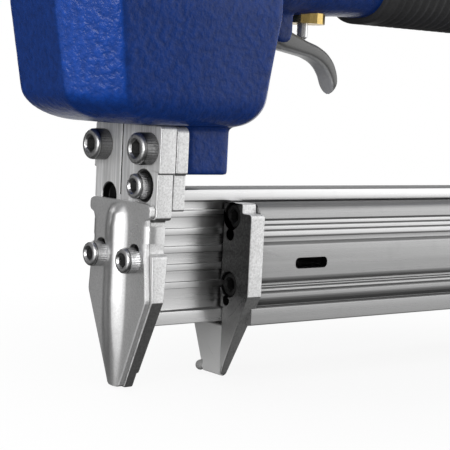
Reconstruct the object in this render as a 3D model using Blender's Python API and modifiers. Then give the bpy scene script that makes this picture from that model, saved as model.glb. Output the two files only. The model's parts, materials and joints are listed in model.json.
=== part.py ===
"""Pneumatic flooring nailer with a slide-back magazine, built as separate solids.

Metres, +Z up, +X towards the handle end, -Y the near side.
The origin is the middle of the nose tip's flat end.
"""
import math

import bmesh
import bpy
import numpy as np
from mathutils import Euler, Matrix, Vector

MM = 0.001
OBJECT_NAME = "flooring_nailer"

# Clearances between neighbouring pieces
FIT = 0.3 * MM
SLIDE = 0.5 * MM

# How far a cutter runs past the face it opens
OVERRUN = 5.0 * MM

# Socket screws: head radius, head height, shank radius, half width across the socket's flats
SCREW_SIZES = {
    "M6": (5.0 * MM, 6.0 * MM, 2.85 * MM, 2.5 * MM),
    "M5": (4.25 * MM, 5.0 * MM, 2.35 * MM, 2.0 * MM),
    "M4": (3.5 * MM, 4.0 * MM, 1.85 * MM, 1.5 * MM),
}
SCREW_CHAMFER = 0.4 * MM
SOCKET_DEPTH_SHARE = 0.55

# Nose plates, along X
GUIDE_T = 6.2 * MM
GUIDE_TAPER_T = 4.9 * MM
GUIDE_STEP_T = 4.6 * MM
GUIDE_TIP_T = 4.0 * MM
BACKING_T = 4.6 * MM
GUIDE_FRONT = -GUIDE_T / 2
GUIDE_BACK = GUIDE_T / 2
BACKING_FRONT = GUIDE_BACK + FIT
BACKING_BACK = BACKING_FRONT + BACKING_T
BOSS_FRONT = BACKING_BACK + FIT

# Nose heights
TIP_STEP_Z = 5.0 * MM
TAPER_TOP = 30.4 * MM
NOTCH_LOW = 45.6 * MM
NOTCH_HIGH = 57.0 * MM
LEG_BOTTOM = 60.0 * MM
SHOULDER_Z = 72.2 * MM
BODY_BOTTOM = 86.5 * MM

# Nose half widths
TIP_HALF = 4.3 * MM
GUIDE_LOW_HALF = 18.4 * MM
GUIDE_MID_HALF = 17.6 * MM
NOTCH_HALF = 15.2 * MM
LEG_HALF = 18.6 * MM
SHOULDER_HALF = 19.6 * MM

# Driver: a flat blade between the guide and the backing plate
BLADE_T = 1.6 * MM
BLADE_W = 6.0 * MM
BLADE_FRONT = GUIDE_BACK + 0.4 * MM
DRIVE_X = BLADE_FRONT + BLADE_T / 2
BLADE_TIP_REST = 65.5 * MM
STROKE = 64.5 * MM
BLADE_ROOM = 0.4 * MM

# Nose cover: pressed sheet in front of the guide
COVER_T = 1.8 * MM
COVER_BACK = GUIDE_FRONT - FIT
COVER_FRONT = COVER_BACK - COVER_T
COVER_TOP = 62.3 * MM
COVER_EAR_LOW = 57.2 * MM
COVER_EAR_HALF = 17.6 * MM
COVER_NECK_HALF = 15.8 * MM
COVER_WIDE_HALF = 17.4 * MM
COVER_TIP_Z = 0.3 * MM
RIDGE_HALF = 4.6 * MM
RIDGE_H = 3.2 * MM
RIDGE_TOP = 60.5 * MM
TAB_LOW = 49.5 * MM
TAB_HIGH = 55.0 * MM
TAB_REACH = 7.1 * MM
TAB_T = 1.6 * MM
SLOT_RISE = 4.6 * MM

# Nose screws: half spacing and height
GUIDE_SCREW_Y = 13.5 * MM
GUIDE_SCREW_Z = 80.0 * MM
GUIDE_SCREW_LENGTH = 22.0 * MM
MIDDLE_SCREW_Y = -10.6 * MM
MIDDLE_SCREW_Z = 67.7 * MM
MIDDLE_RECESS_R = 5.4 * MM
MIDDLE_RECESS_DEPTH = 0.7 * MM
COVER_SCREW_Y = 10.0 * MM
COVER_SCREW_Z = 43.45 * MM
SPARE_HOLE_Y = 9.7 * MM
SPARE_HOLE_Z = 63.0 * MM
SPARE_HOLE_R = 4.4 * MM
SPARE_HOLE_DEPTH = 3.0 * MM

# Housing body: a long octagon about the drive axis, its lower end drafted
BODY_TOP = 190.0 * MM
BODY_REF_Z = 100.0 * MM
BODY_DRAFT_TOP = 125.0 * MM
BODY_FRONT_HALF = 41.0 * MM
BODY_REAR_HALF = 41.0 * MM
BODY_HALF_WIDTH = 30.0 * MM
BODY_FACET_HALF = 13.5 * MM
BODY_CHAMFER_X = 11.8 * MM
BODY_FRONT_DRAFT = 0.06
BODY_REAR_DRAFT = 0.2
BODY_SIDE_DRAFT = 0.05
BODY_EDGE_R = 3.0 * MM
BODY_FILLET = 8.0 * MM
BODY_FLOOR = 5.5 * MM
FLOOR_HOLE_R = 5.0 * MM
BOSS_LENGTH = 19.5 * MM
BOSS_HALF = 17.0 * MM
BOSS_BOTTOM = 71.8 * MM
BOSS_EDGE_R = 3.0 * MM
BORE_R = 26.0 * MM

# Cylinder, bumper, piston
SLEEVE_WALL = 3.0 * MM
SLEEVE_AIR_GAP = 4.0 * MM
SLEEVE_R = BORE_R - SLEEVE_AIR_GAP
SLEEVE_COLLAR = (138.0 * MM, 146.0 * MM)
SLEEVE_TOP_GAP = 6.0 * MM
BUMPER_H = 15.0 * MM
PISTON_H = 10.0 * MM
PISTON_BOSS_R = 8.0 * MM
PISTON_BOSS_H = 12.0 * MM
RING_H = 3.0 * MM
RING_DEPTH = 1.8 * MM
PISTON_BOTTOM = BODY_BOTTOM + BODY_FLOOR + FIT + BUMPER_H + FIT + STROKE
BLADE_GRIP = 9.0 * MM
BLADE_PIN_R = 1.5 * MM

# Head valve, cap and exhaust
GASKET_T = 0.8 * MM
CAP_H = 31.0 * MM
CAP_LIP = 1.5 * MM
CAP_CAVITY_R = BORE_R - CAP_LIP
CAP_CAVITY_H = 19.0 * MM
CAP_ROUND = 7.0 * MM
CAP_SEAT = 17.0 * MM
CAP_SCREW_X = 30.5 * MM
CAP_SCREW_Y = 19.0 * MM
CAP_SCREW_LENGTH = 32.0 * MM
HEAD_VALVE_H = 10.0 * MM
HEAD_VALVE_HUB_SHARE = 0.55
HEAD_WIRE_R = 0.9 * MM
HEAD_TURNS = 4
EXHAUST_R = 4.0 * MM
EXHAUST_OFFSET = 12.5 * MM
DEFLECTOR_R = 20.0 * MM
DEFLECTOR_H = 10.0 * MM
DEFLECTOR_WALL = 2.4 * MM
DEFLECTOR_VENT_W = 20.0 * MM

# Handle: a tapered oval tube behind the body
HANDLE_Z = 148.0 * MM
HANDLE_START = 22.0 * MM
HANDLE_END = 195.0 * MM
HANDLE_POWER = 2.6
HANDLE_ROOT = (22.0 * MM, 20.0 * MM)
HANDLE_NECK = (20.5 * MM, 17.5 * MM)
HANDLE_WAIST = (19.0 * MM, 16.5 * MM)
HANDLE_BUTT = (23.0 * MM, 19.5 * MM)
HANDLE_BORE_R = 11.5 * MM
GRIP_START = 96.0 * MM
GRIP_LENGTH = 64.0 * MM
GRIP_T = 2.0 * MM
END_CAP_T = 9.6 * MM
END_SCREW_Y = 12.3 * MM
END_SCREW_Z = 14.5 * MM
END_SCREW_SHANK = 16.0 * MM
END_CAP_EDGE = 1.5 * MM
PLUG_THREAD_R = 6.5 * MM
PLUG_THREAD_L = 8.0 * MM
PLUG_HEX_R = 9.0 * MM
PLUG_HEX_L = 6.0 * MM
PLUG_NIPPLE_L = 24.0 * MM
PLUG_NIPPLE_R = 6.0 * MM
PLUG_BORE_R = 2.0 * MM
PLUG_NECK_SHARE = 0.72
PLUG_MOUTH_SHARE = 0.85
PLUG_STEPS = (2.0 * MM, 8.0 * MM, 9.5 * MM, 13.0 * MM, 14.5 * MM)

# Trigger and its valve
TRIGGER_X = DRIVE_X + BODY_REAR_HALF + 9.7 * MM
TRIGGER_Z = 121.5 * MM
TRIGGER_HALF = 4.0 * MM
TRIGGER_PIN_R = 1.5 * MM
LUG_T = 3.5 * MM
LUG_R = 4.0 * MM
VALVE_ARM = 15.0 * MM
VALVE_X = TRIGGER_X + VALVE_ARM
VALVE_R = 8.0 * MM
VALVE_BOTTOM = TRIGGER_Z + 3.5 * MM
VALVE_TOP = HANDLE_Z - 2.0 * MM
VALVE_FLOOR = 3.5 * MM
VALVE_CAP = 1.6 * MM
VALVE_BORE_R = 4.4 * MM
STEM_R = 2.0 * MM
STEM_HEAD_R = 3.8 * MM
STEM_HEAD_H = 3.0 * MM
STEM_BOTTOM = TRIGGER_Z - 2.0 * MM
STEM_NOSE = 0.8 * MM
VALVE_VENT_R = 1.2 * MM
VALVE_WIRE_R = 0.4 * MM
VALVE_TURNS = 5

# Trigger outline in millimetres from its pivot: under edge, tip, upper edge, and its hub's radius
TRIGGER_UNDER = ((-2.6, -3.4), (3, -6.2), (7, -6.8), (11, -7.4), (16.5, -8.3), (21, -9.9), (23.8, -11.9),
                 (26.3, -15.1), (27.6, -18.3), (28.2, -20.9))
TRIGGER_TIP = ((29, -21.7), (29.9, -20))
TRIGGER_UPPER = ((30.4, -17), (30.1, -13.5), (28.8, -10.3), (26.3, -7.2), (22.6, -4.8), (15, -2.6), (7, 0.3))
TRIGGER_HUB = 3.9
TRIGGER_HUB_DEGREES = (45, 75, 105, 135, 165, 195, 220)
TRIGGER_EDGE = 0.9 * MM

# Fixed rail of the magazine (section in Y and Z)
RAIL_FRONT = BLADE_FRONT + BLADE_T + SLIDE
RAIL_END = 198.5 * MM
RAIL_TOP = 67.8 * MM
FLANGE_Z = 62.2 * MM
FLANGE_HALF = 7.2 * MM
WEB_NEAR = -3.0 * MM
WEB_FAR = -0.9 * MM
RIB_H = 0.5 * MM
RIB_W = 2.3 * MM
RIB_PITCH = 6.1 * MM
RIB_TOP_Z = 57.7 * MM
RIB_COUNT = 5
FOOT_TOP = 24.7 * MM
FOOT_BOTTOM = 20.0 * MM
FOOT_NEAR = -4.8 * MM
FOOT_FAR = 4.5 * MM
NAIL_GAP_FAR = 0.8 * MM

# Sliding part of the magazine
CLAW_T = 6.2 * MM
CLAW_FRONT = 35.6 * MM
CLAW_BACK = CLAW_FRONT + CLAW_T
CLAW_HALF = 19.0 * MM
CLAW_SHOULDER_Z = 58.5 * MM
CLAW_STEP_HALF = 14.0 * MM
CLAW_TIP_HALF = 4.9 * MM
CLAW_TIP_T = 3.0 * MM
CLAW_RECESS = 2.0 * MM
CLAW_BRIDGE_Z = 18.2 * MM
CLAW_LAND_Z = 6.0 * MM
CLAW_SCREWS = ((8.6 * MM, 57.1 * MM), (8.2 * MM, 33.3 * MM))
CLAW_SCREW_LENGTH = 14.0 * MM
CLAW_PIN_HOLES = ((7.9 * MM, 50.7 * MM), (7.0 * MM, 27.6 * MM))
CLAW_PIN_HOLE_R = 1.7 * MM
CLAW_NUB_R = 1.5 * MM
SLIDE_TOP = 61.8 * MM
SLIDE_BLOCK_LOW = 53.4 * MM
SLIDE_MID_TOP = 37.6 * MM
SLIDE_HALF = 17.0 * MM
SLIDE_RIB_HALF = 16.2 * MM
SLIDE_BOTTOM = 20.0 * MM
SLIDE_BRIDGE = (18.0 * MM, 19.6 * MM)
SLIDE_BRIDGE_HALF = 7.5 * MM
SLIDE_FRONT = CLAW_BACK + FIT
SLIDE_LENGTH = 190.0 * MM
SLIDE_END = SLIDE_FRONT + SLIDE_LENGTH
CELL_Y = (8.0 * MM, 12.8 * MM)
CELL_Z = (22.0 * MM, 28.5 * MM)
GROOVE_DEPTH = 0.6 * MM
GROOVE_W = 0.6 * MM
SLIDE_UPPER_GROOVES = (56.1 * MM, 54.4 * MM, 52.5 * MM)
SLIDE_LOWER_GROOVES = (33.3 * MM, 31.6 * MM)
SIGHT_SLOT_X = 16.0 * MM
SIGHT_SLOT_L = 14.8 * MM
SIGHT_SLOT_H = 3.9 * MM
SIGHT_SLOT_Z = 41.0 * MM
NEAR_INNER = WEB_NEAR - RIB_H - 0.4 * MM
FAR_INNER = NAIL_GAP_FAR + SLIDE
FOOT_ROOM_NEAR = FOOT_NEAR - SLIDE
FOOT_ROOM_FAR = FOOT_FAR + SLIDE
LEDGE_Z = FOOT_TOP + FIT
END_PLATE_T = 6.0 * MM
END_SCREW_LENGTH = 12.0 * MM

# Nail pusher with its rod and spring
PUSHER_ROD_Y = 7.0 * MM
PUSHER_ROD_Z = 45.0 * MM
PUSHER_ROD_R = 1.5 * MM
PUSHER_WIRE_R = 0.5 * MM
PUSHER_TURNS = 14
PUSHER_BLOCK_L = 14.0 * MM
PUSHER_BLOCK_Y = (FAR_INNER + SLIDE, 11.8 * MM)
PUSHER_BLOCK_Z = (39.5 * MM, 50.5 * MM)
PUSHER_BLADE_Z = (28.0 * MM, 58.0 * MM)
PUSHER_BLADE_HALF = 0.6 * MM

# Rear bracket between rail and handle
BRACKET_LENGTH = 31.0 * MM
BRACKET_FOOT_T = 5.0 * MM
BRACKET_HEAD_T = 5.6 * MM
BRACKET_WEB = 8.0 * MM
BRACKET_HALF = 7.0 * MM
BRACKET_END = HANDLE_END + 2.0 * MM
BRACKET_SCREW_INSET = 5.0 * MM
BRACKET_SCREW_SHANK = 14.0 * MM
BRACKET_FILLET = 2.0 * MM
RAIL_SCREW_SHANK = 9.0 * MM
PAD_BOTTOM = HANDLE_Z - 24.0 * MM

# Magazine latch under the rear end
LATCH_X = SLIDE_END - 10.0 * MM
LATCH_Z = 12.5 * MM
LATCH_HALF = 4.6 * MM
LATCH_LUG_T = 3.5 * MM
LATCH_LUG_R = 4.2 * MM
LATCH_PIN_R = 1.5 * MM
LATCH_HOOK_FRONT = -18.0 * MM
LATCH_HOOK_W = 4.0 * MM
LATCH_NOTCH_DEPTH = 2.5 * MM
LATCH_LIFT = 0.4 * MM

FACE_X = Euler((math.pi / 2, 0, math.pi / 2))
FACE_Y = Euler((math.pi / 2, 0, 0))
UP = Vector((0, 0, 1))
SHARP = math.radians(35)

# Colour, roughness, metallic
FINISHES = {
    "blue_paint": ((0.022, 0.066, 0.29), 0.42, 0.0),
    "brushed_steel": ((0.56, 0.56, 0.57), 0.34, 1.0),
    "cast_steel": ((0.50, 0.50, 0.50), 0.5, 1.0),
    "satin_steel": ((0.60, 0.60, 0.61), 0.38, 1.0),
    "dark_screw": ((0.05, 0.05, 0.055), 0.4, 1.0),
    "zinc_screw": ((0.62, 0.63, 0.65), 0.3, 1.0),
    "aluminium": ((0.66, 0.67, 0.68), 0.35, 1.0),
    "die_cast": ((0.16, 0.16, 0.165), 0.5, 0.3),
    "black_plastic": ((0.02, 0.02, 0.02), 0.55, 0.0),
    "rubber": ((0.018, 0.018, 0.018), 0.8, 0.0),
    "brass": ((0.66, 0.48, 0.2), 0.3, 1.0),
    "spring_steel": ((0.42, 0.42, 0.43), 0.35, 1.0),
}

for leftover in list(bpy.data.objects):
    bpy.data.objects.remove(leftover, do_unlink=True)


def new_collection(name):
    collection = bpy.data.collections.new(name)
    bpy.context.scene.collection.children.link(collection)
    return collection


PARTS = new_collection(OBJECT_NAME)
CUTTERS = new_collection(OBJECT_NAME + "_cutters")


def finish_material(name):
    material = bpy.data.materials.new(name)
    material.use_nodes = True
    shader = material.node_tree.nodes["Principled BSDF"]
    colour, roughness, metallic = FINISHES[name]
    shader.inputs["Base Color"].default_value = (*colour, 1)
    shader.inputs["Roughness"].default_value = roughness
    shader.inputs["Metallic"].default_value = metallic
    return material


MATERIALS = {name: finish_material(name) for name in FINISHES}


# Mesh helpers

def solid_mesh(source):
    """Evaluate a helper object, weld it, close its open ends, point its faces out, and remove the helper."""
    graph = bpy.context.evaluated_depsgraph_get()
    mesh = bpy.data.meshes.new_from_object(source.evaluated_get(graph))
    bpy.data.objects.remove(source, do_unlink=True)
    shape = bmesh.new()
    shape.from_mesh(mesh)
    bmesh.ops.remove_doubles(shape, verts=shape.verts, dist=1e-6)
    bmesh.ops.holes_fill(shape, edges=[edge for edge in shape.edges if edge.is_boundary])
    bmesh.ops.recalc_face_normals(shape, faces=shape.faces)
    shape.to_mesh(mesh)
    shape.free()
    return mesh


def helper_object(name, data):
    helper = bpy.data.objects.new(name, data)
    CUTTERS.objects.link(helper)
    return helper


def outline_mesh(points, depth):
    """A flat outline in local X and Y, extruded depth thick about local Z = 0, with one face at each end."""
    curve = bpy.data.curves.new("outline", "CURVE")
    curve.dimensions = "2D"
    curve.fill_mode = "NONE"
    curve.extrude = depth / 2
    spline = curve.splines.new("POLY")
    spline.points.add(len(points) - 1)
    for place, point in zip(spline.points, points):
        place.co = (point[0], point[1], 0, 1)
    spline.use_cyclic_u = True
    return solid_mesh(helper_object("outline", curve))


def turned_mesh(profile, steps=24, closed=False):
    """Turn a profile of radius and height pairs, listed down its outer side, about local Z."""
    count = len(profile)
    edges = [(i, i + 1) for i in range(count - 1)]
    if closed:
        edges.append((count - 1, 0))
    mesh = bpy.data.meshes.new("turned")
    mesh.from_pydata([(radius, 0, height) for radius, height in profile], edges, [])
    helper = helper_object("turned", mesh)
    screw = helper.modifiers.new("turn", "SCREW")
    screw.steps = steps
    screw.render_steps = steps
    screw.use_merge_vertices = True
    screw.merge_threshold = 1e-6
    turned = solid_mesh(helper)
    turned.shade_smooth()
    turned.set_sharp_from_angle(angle=SHARP)
    return turned


def ring_profile(inner, outer, low, high):
    return ((outer, high), (outer, low), (inner, low), (inner, high))


def loft_mesh(rings):
    """Skin rings of equal point counts, with flat ends."""
    shape = bmesh.new()
    rows = [[shape.verts.new(point) for point in ring] for ring in rings]
    count = len(rows[0])
    for lower, upper in zip(rows, rows[1:]):
        for i in range(count):
            after = (i + 1) % count
            shape.faces.new((lower[i], lower[after], upper[after], upper[i]))
    shape.faces.new(rows[0])
    shape.faces.new(rows[-1])
    bmesh.ops.recalc_face_normals(shape, faces=shape.faces)
    mesh = bpy.data.meshes.new("loft")
    shape.to_mesh(mesh)
    shape.free()
    return mesh


def coil_mesh(radius, length, turns, wire, per_turn=8):
    """One unbroken round wire wound along local Z from 0 to length."""
    count = turns * per_turn + 1
    steps = np.arange(count)
    angle = 2 * math.pi * steps / per_turn
    points = np.stack([radius * np.cos(angle), radius * np.sin(angle), length * steps / (count - 1)], axis=1)
    apart = np.linalg.norm(points[:, None] - points[None], axis=2)
    near_along = np.abs(steps[:, None] - steps[None]) < per_turn // 2
    gap = np.where(near_along, np.inf, apart).min() - 2 * wire
    print(f"coil of {turns} turns, least gap to itself {gap / MM:.2f} mm")
    curve = bpy.data.curves.new("coil", "CURVE")
    curve.dimensions = "3D"
    curve.bevel_depth = wire
    curve.bevel_resolution = 1
    curve.use_fill_caps = True
    spline = curve.splines.new("POLY")
    spline.points.add(count - 1)
    for place, point in zip(spline.points, points):
        place.co = (*point, 1)
    return solid_mesh(helper_object("coil", curve))


def box_mesh(low, high):
    size = [b - a for a, b in zip(low, high)]
    middle = [(a + b) / 2 for a, b in zip(low, high)]
    shape = bmesh.new()
    bmesh.ops.create_cube(shape, size=1, matrix=Matrix.Translation(middle) @ Matrix.Diagonal((*size, 1)))
    mesh = bpy.data.meshes.new("box")
    shape.to_mesh(mesh)
    shape.free()
    return mesh


def rods_mesh(rods, sides=14):
    """Separate round rods, each from a start point to an end point."""
    shape = bmesh.new()
    for start, end, radius in rods:
        start, end = Vector(start), Vector(end)
        turn = UP.rotation_difference(end - start).to_matrix().to_4x4()
        place = Matrix.Translation((start + end) / 2) @ turn
        bmesh.ops.create_cone(shape, cap_ends=True, segments=sides, radius1=radius, radius2=radius,
                              depth=(end - start).length, matrix=place)
    mesh = bpy.data.meshes.new("rods")
    shape.to_mesh(mesh)
    shape.free()
    return mesh


def rounded(corners, steps=3):
    """Replace each corner (x, y, radius) of a closed outline by an arc of that radius."""
    points = []
    count = len(corners)
    for i, (x, y, radius) in enumerate(corners):
        here = Vector((x, y))
        if radius == 0:
            points.append(here)
            continue
        back = Vector(corners[i - 1][:2]) - here
        ahead = Vector(corners[(i + 1) % count][:2]) - here
        half = back.angle(ahead) / 2
        reach = radius / math.tan(half)
        centre = here + (back.normalized() + ahead.normalized()).normalized() * radius / math.sin(half)
        first = here + back.normalized() * reach - centre
        last = here + ahead.normalized() * reach - centre
        sweep = first.angle_signed(last)
        for step in range(steps + 1):
            angle = -sweep * step / steps
            points.append(centre + Matrix.Rotation(angle, 2) @ first)
    return points


def mirrored(half):
    """Complete an outline whose right half runs upwards from the bottom."""
    return list(half) + [(-entry[0], *entry[1:]) for entry in reversed(half)]


# Object helpers

def add_part(name, mesh, finish, location=(0, 0, 0), rotation=(0, 0, 0)):
    mesh.name = name
    mesh.materials.clear()
    mesh.materials.append(MATERIALS[finish])
    part = bpy.data.objects.new(name, mesh)
    part.location = location
    part.rotation_euler = rotation
    PARTS.objects.link(part)
    return part


def boolean(part, mesh, operation, location=(0, 0, 0), rotation=(0, 0, 0)):
    cutter = helper_object(part.name + "_" + operation.lower(), mesh)
    cutter.location = location
    cutter.rotation_euler = rotation
    cutter.hide_render = True
    cutter.display_type = "WIRE"
    modifier = part.modifiers.new(operation.lower(), "BOOLEAN")
    modifier.operation = operation
    modifier.solver = "EXACT"
    modifier.object = cutter


def cut(part, mesh, location=(0, 0, 0), rotation=(0, 0, 0)):
    boolean(part, mesh, "DIFFERENCE", location, rotation)


def unite(part, mesh, location=(0, 0, 0), rotation=(0, 0, 0)):
    boolean(part, mesh, "UNION", location, rotation)


def moving_frame(name, location, pieces):
    """Parent pieces to an empty on their joint's axis, keeping them in place."""
    empty = bpy.data.objects.new(name, None)
    empty.location = location
    PARTS.objects.link(empty)
    bpy.context.view_layer.update()
    for piece in pieces:
        piece.parent = empty
        piece.matrix_parent_inverse = empty.matrix_world.inverted()


def plate_at(front, back):
    """Middle of a plate that spans front to back along X."""
    return ((front + back) / 2, 0, 0)


def screw_mesh(size, length):
    """A socket head screw along local Z: seat at 0, head above it, shank below."""
    head_r, head_h, shank_r, socket_half = SCREW_SIZES[size]
    top = head_h - SCREW_CHAMFER
    profile = ((0, head_h), (head_r - SCREW_CHAMFER, head_h), (head_r, top), (head_r, 0),
               (shank_r, 0), (shank_r, -length), (0, -length))
    helper = helper_object("screw", turned_mesh(profile, steps=12))
    socket = bpy.data.meshes.new("socket")
    shape = bmesh.new()
    bmesh.ops.create_cone(shape, cap_ends=True, segments=6, radius1=socket_half / math.cos(math.pi / 6),
                          radius2=socket_half / math.cos(math.pi / 6), depth=2 * SOCKET_DEPTH_SHARE * head_h,
                          matrix=Matrix.Translation((0, 0, head_h)))
    shape.to_mesh(socket)
    shape.free()
    hex_tool = helper_object("socket", socket)
    modifier = helper.modifiers.new("socket", "BOOLEAN")
    modifier.object = hex_tool
    bpy.context.view_layer.update()
    mesh = solid_mesh(helper)
    bpy.data.objects.remove(hex_tool, do_unlink=True)
    return mesh


def add_screw(name, size, length, seat, outward, finish):
    """Seat a screw, its head on the outward side, a fit's gap above the seat."""
    outward = Vector(outward)
    turn = UP.rotation_difference(outward).to_euler()
    return add_part(name, screw_mesh(size, length), finish, Vector(seat) + outward * FIT, turn)


def shank_hole(size):
    return SCREW_SIZES[size][2] + FIT


def head_hole(size):
    return SCREW_SIZES[size][0] + FIT


# Housing

def body_ring(z, inset=0.0):
    """The body's octagon at height z, its corners rounded, drawn in by inset."""
    rise = min(z, BODY_DRAFT_TOP) - BODY_REF_Z
    front = BODY_FRONT_HALF + BODY_FRONT_DRAFT * rise - inset
    rear = BODY_REAR_HALF + BODY_REAR_DRAFT * rise - inset
    half = BODY_HALF_WIDTH + BODY_SIDE_DRAFT * rise - inset
    facet = BODY_FACET_HALF - inset / 3
    chamfer = BODY_CHAMFER_X - inset / 3
    corners = [(rear, facet, BODY_EDGE_R), (rear - chamfer, half, BODY_EDGE_R),
               (-front + chamfer, half, BODY_EDGE_R), (-front, facet, BODY_EDGE_R)]
    corners += [(x, -y, radius) for x, y, radius in reversed(corners)]
    return [(DRIVE_X + point[0], point[1], z) for point in rounded(corners, steps=2)]


def body_rings(low, high):
    """Rings up a fillet at the bottom, then straight up the sides."""
    rings = [body_ring(low + BODY_FILLET * (1 - math.cos(turn)), BODY_FILLET * (1 - math.sin(turn)))
             for turn in (0, math.pi / 6, math.pi / 3, math.pi / 2)]
    return rings + [body_ring(BODY_DRAFT_TOP), body_ring(high)]


def oval_ring(x, half_z, half_y, points=28):
    ring = []
    for i in range(points):
        angle = 2 * math.pi * i / points
        side, rise = math.cos(angle), math.sin(angle)
        share = 2 / HANDLE_POWER
        y = half_y * math.copysign(abs(side) ** share, side)
        z = half_z * math.copysign(abs(rise) ** share, rise)
        ring.append((x, y, HANDLE_Z + z))
    return ring


def handle_stations():
    """X, half height and half width along the handle."""
    body_rear = DRIVE_X + BODY_REAR_HALF
    return ((HANDLE_START, *HANDLE_ROOT), (body_rear + 2 * MM, *HANDLE_ROOT),
            (body_rear + 20 * MM, *HANDLE_NECK), (GRIP_START - 3 * MM, *HANDLE_WAIST),
            (GRIP_START + GRIP_LENGTH + 3 * MM, *HANDLE_WAIST), (HANDLE_END - 8 * MM, *HANDLE_BUTT),
            (HANDLE_END, *HANDLE_BUTT))


CAP_SCREWS = [(DRIVE_X + i * CAP_SCREW_X, j * CAP_SCREW_Y) for i in (-1, 1) for j in (-1, 1)]
END_SCREWS = [(j * END_SCREW_Y, HANDLE_Z + k * END_SCREW_Z) for j in (-1, 1) for k in (-1, 1)]
BRACKET_SCREWS = (BRACKET_END - BRACKET_LENGTH + BRACKET_SCREW_INSET, BRACKET_END - BRACKET_SCREW_INSET)
CAP_BASE = BODY_TOP + FIT + GASKET_T + FIT
CAP_TOP = CAP_BASE + CAP_H
END_CAP_FRONT = HANDLE_END + FIT + GASKET_T + FIT
END_CAP_BACK = END_CAP_FRONT + END_CAP_T
CAP_SCREW_SEAT = CAP_BASE + CAP_SEAT
BRACKET_TOP = PAD_BOTTOM - FIT
BRACKET_SEAT = BRACKET_TOP - BRACKET_HEAD_T
BRACKET_BASE = RAIL_TOP + FIT


def build_housing():
    housing = add_part("housing", loft_mesh(body_rings(BODY_BOTTOM, BODY_TOP)), "blue_paint")
    unite(housing, loft_mesh([oval_ring(*station) for station in handle_stations()]))
    boss = [(BOSS_FRONT, BOSS_HALF, BOSS_EDGE_R), (BOSS_FRONT, -BOSS_HALF, BOSS_EDGE_R),
            (BOSS_FRONT + BOSS_LENGTH, -BOSS_HALF, BOSS_EDGE_R),
            (BOSS_FRONT + BOSS_LENGTH, BOSS_HALF, BOSS_EDGE_R)]
    boss_top = BODY_BOTTOM + BODY_FLOOR - FIT
    unite(housing, outline_mesh(rounded(boss), boss_top - BOSS_BOTTOM), (0, 0, (boss_top + BOSS_BOTTOM) / 2))
    pad_low = (BRACKET_END - BRACKET_LENGTH, -BRACKET_HALF, PAD_BOTTOM)
    unite(housing, box_mesh(pad_low, (HANDLE_END, BRACKET_HALF, HANDLE_Z - HANDLE_BORE_R - OVERRUN)))
    for side in (-1, 1):
        lug = rounded([(-LUG_R, -LUG_R, 0.9 * LUG_R), (LUG_R, -LUG_R, 0.9 * LUG_R),
                       (LUG_R, 3 * LUG_R, 0), (-LUG_R, 3 * LUG_R, 0)])
        lug_y = side * (TRIGGER_HALF + SLIDE + LUG_T / 2)
        unite(housing, outline_mesh(lug, LUG_T), (TRIGGER_X, lug_y, TRIGGER_Z), FACE_Y)
    floor = BODY_BOTTOM + BODY_FLOOR
    cut(housing, rods_mesh([((DRIVE_X, 0, floor), (DRIVE_X, 0, BODY_TOP + OVERRUN), BORE_R)], sides=32))
    cut(housing, rods_mesh([((DRIVE_X, 0, BOSS_BOTTOM), (DRIVE_X, 0, floor + OVERRUN), FLOOR_HOLE_R)]))
    cut(housing, rods_mesh([((DRIVE_X, 0, HANDLE_Z), (HANDLE_END + OVERRUN, 0, HANDLE_Z), HANDLE_BORE_R)]))
    cut(housing, rods_mesh([((VALVE_X, 0, TRIGGER_Z), (VALVE_X, 0, HANDLE_Z), VALVE_R + FIT)]))
    pin_end = TRIGGER_HALF + 3 * LUG_T
    cut(housing, rods_mesh([((TRIGGER_X, -pin_end, TRIGGER_Z), (TRIGGER_X, pin_end, TRIGGER_Z),
                             TRIGGER_PIN_R + FIT)]))
    cap_end = CAP_SCREW_SEAT - CAP_SCREW_LENGTH - FIT
    holes = [((x, y, cap_end), (x, y, BODY_TOP + OVERRUN), shank_hole("M5")) for x, y in CAP_SCREWS]
    guide_end = GUIDE_FRONT + GUIDE_SCREW_LENGTH + FIT
    holes += [((BOSS_FRONT - FIT, side * GUIDE_SCREW_Y, GUIDE_SCREW_Z),
               (guide_end, side * GUIDE_SCREW_Y, GUIDE_SCREW_Z), shank_hole("M6")) for side in (-1, 1)]
    butt_end = END_CAP_BACK - END_SCREW_SHANK - FIT
    holes += [((butt_end, y, z), (HANDLE_END + OVERRUN, y, z), shank_hole("M4")) for y, z in END_SCREWS]
    holes += [((x, 0, PAD_BOTTOM - OVERRUN), (x, 0, BRACKET_SEAT + BRACKET_SCREW_SHANK + FIT),
               shank_hole("M5"))
              for x in BRACKET_SCREWS]
    cut(housing, rods_mesh(holes, sides=12))


# Cylinder and driver

def build_cylinder():
    floor = BODY_BOTTOM + BODY_FLOOR
    inner = SLEEVE_R - SLEEVE_WALL
    top = BODY_TOP - SLEEVE_TOP_GAP
    low, high = SLEEVE_COLLAR
    sleeve = ((SLEEVE_R, top), (SLEEVE_R, high), (BORE_R - FIT, high), (BORE_R - FIT, low), (SLEEVE_R, low),
              (SLEEVE_R, floor + FIT), (inner, floor + FIT), (inner, top))
    add_part("cylinder_sleeve", turned_mesh(sleeve, closed=True), "aluminium", (DRIVE_X, 0, 0))
    bumper = ring_profile(PISTON_BOSS_R + SLIDE, inner - FIT, floor + FIT, floor + FIT + BUMPER_H)
    add_part("bumper", turned_mesh(bumper, closed=True), "rubber", (DRIVE_X, 0, 0))
    build_driver(inner)


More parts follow.
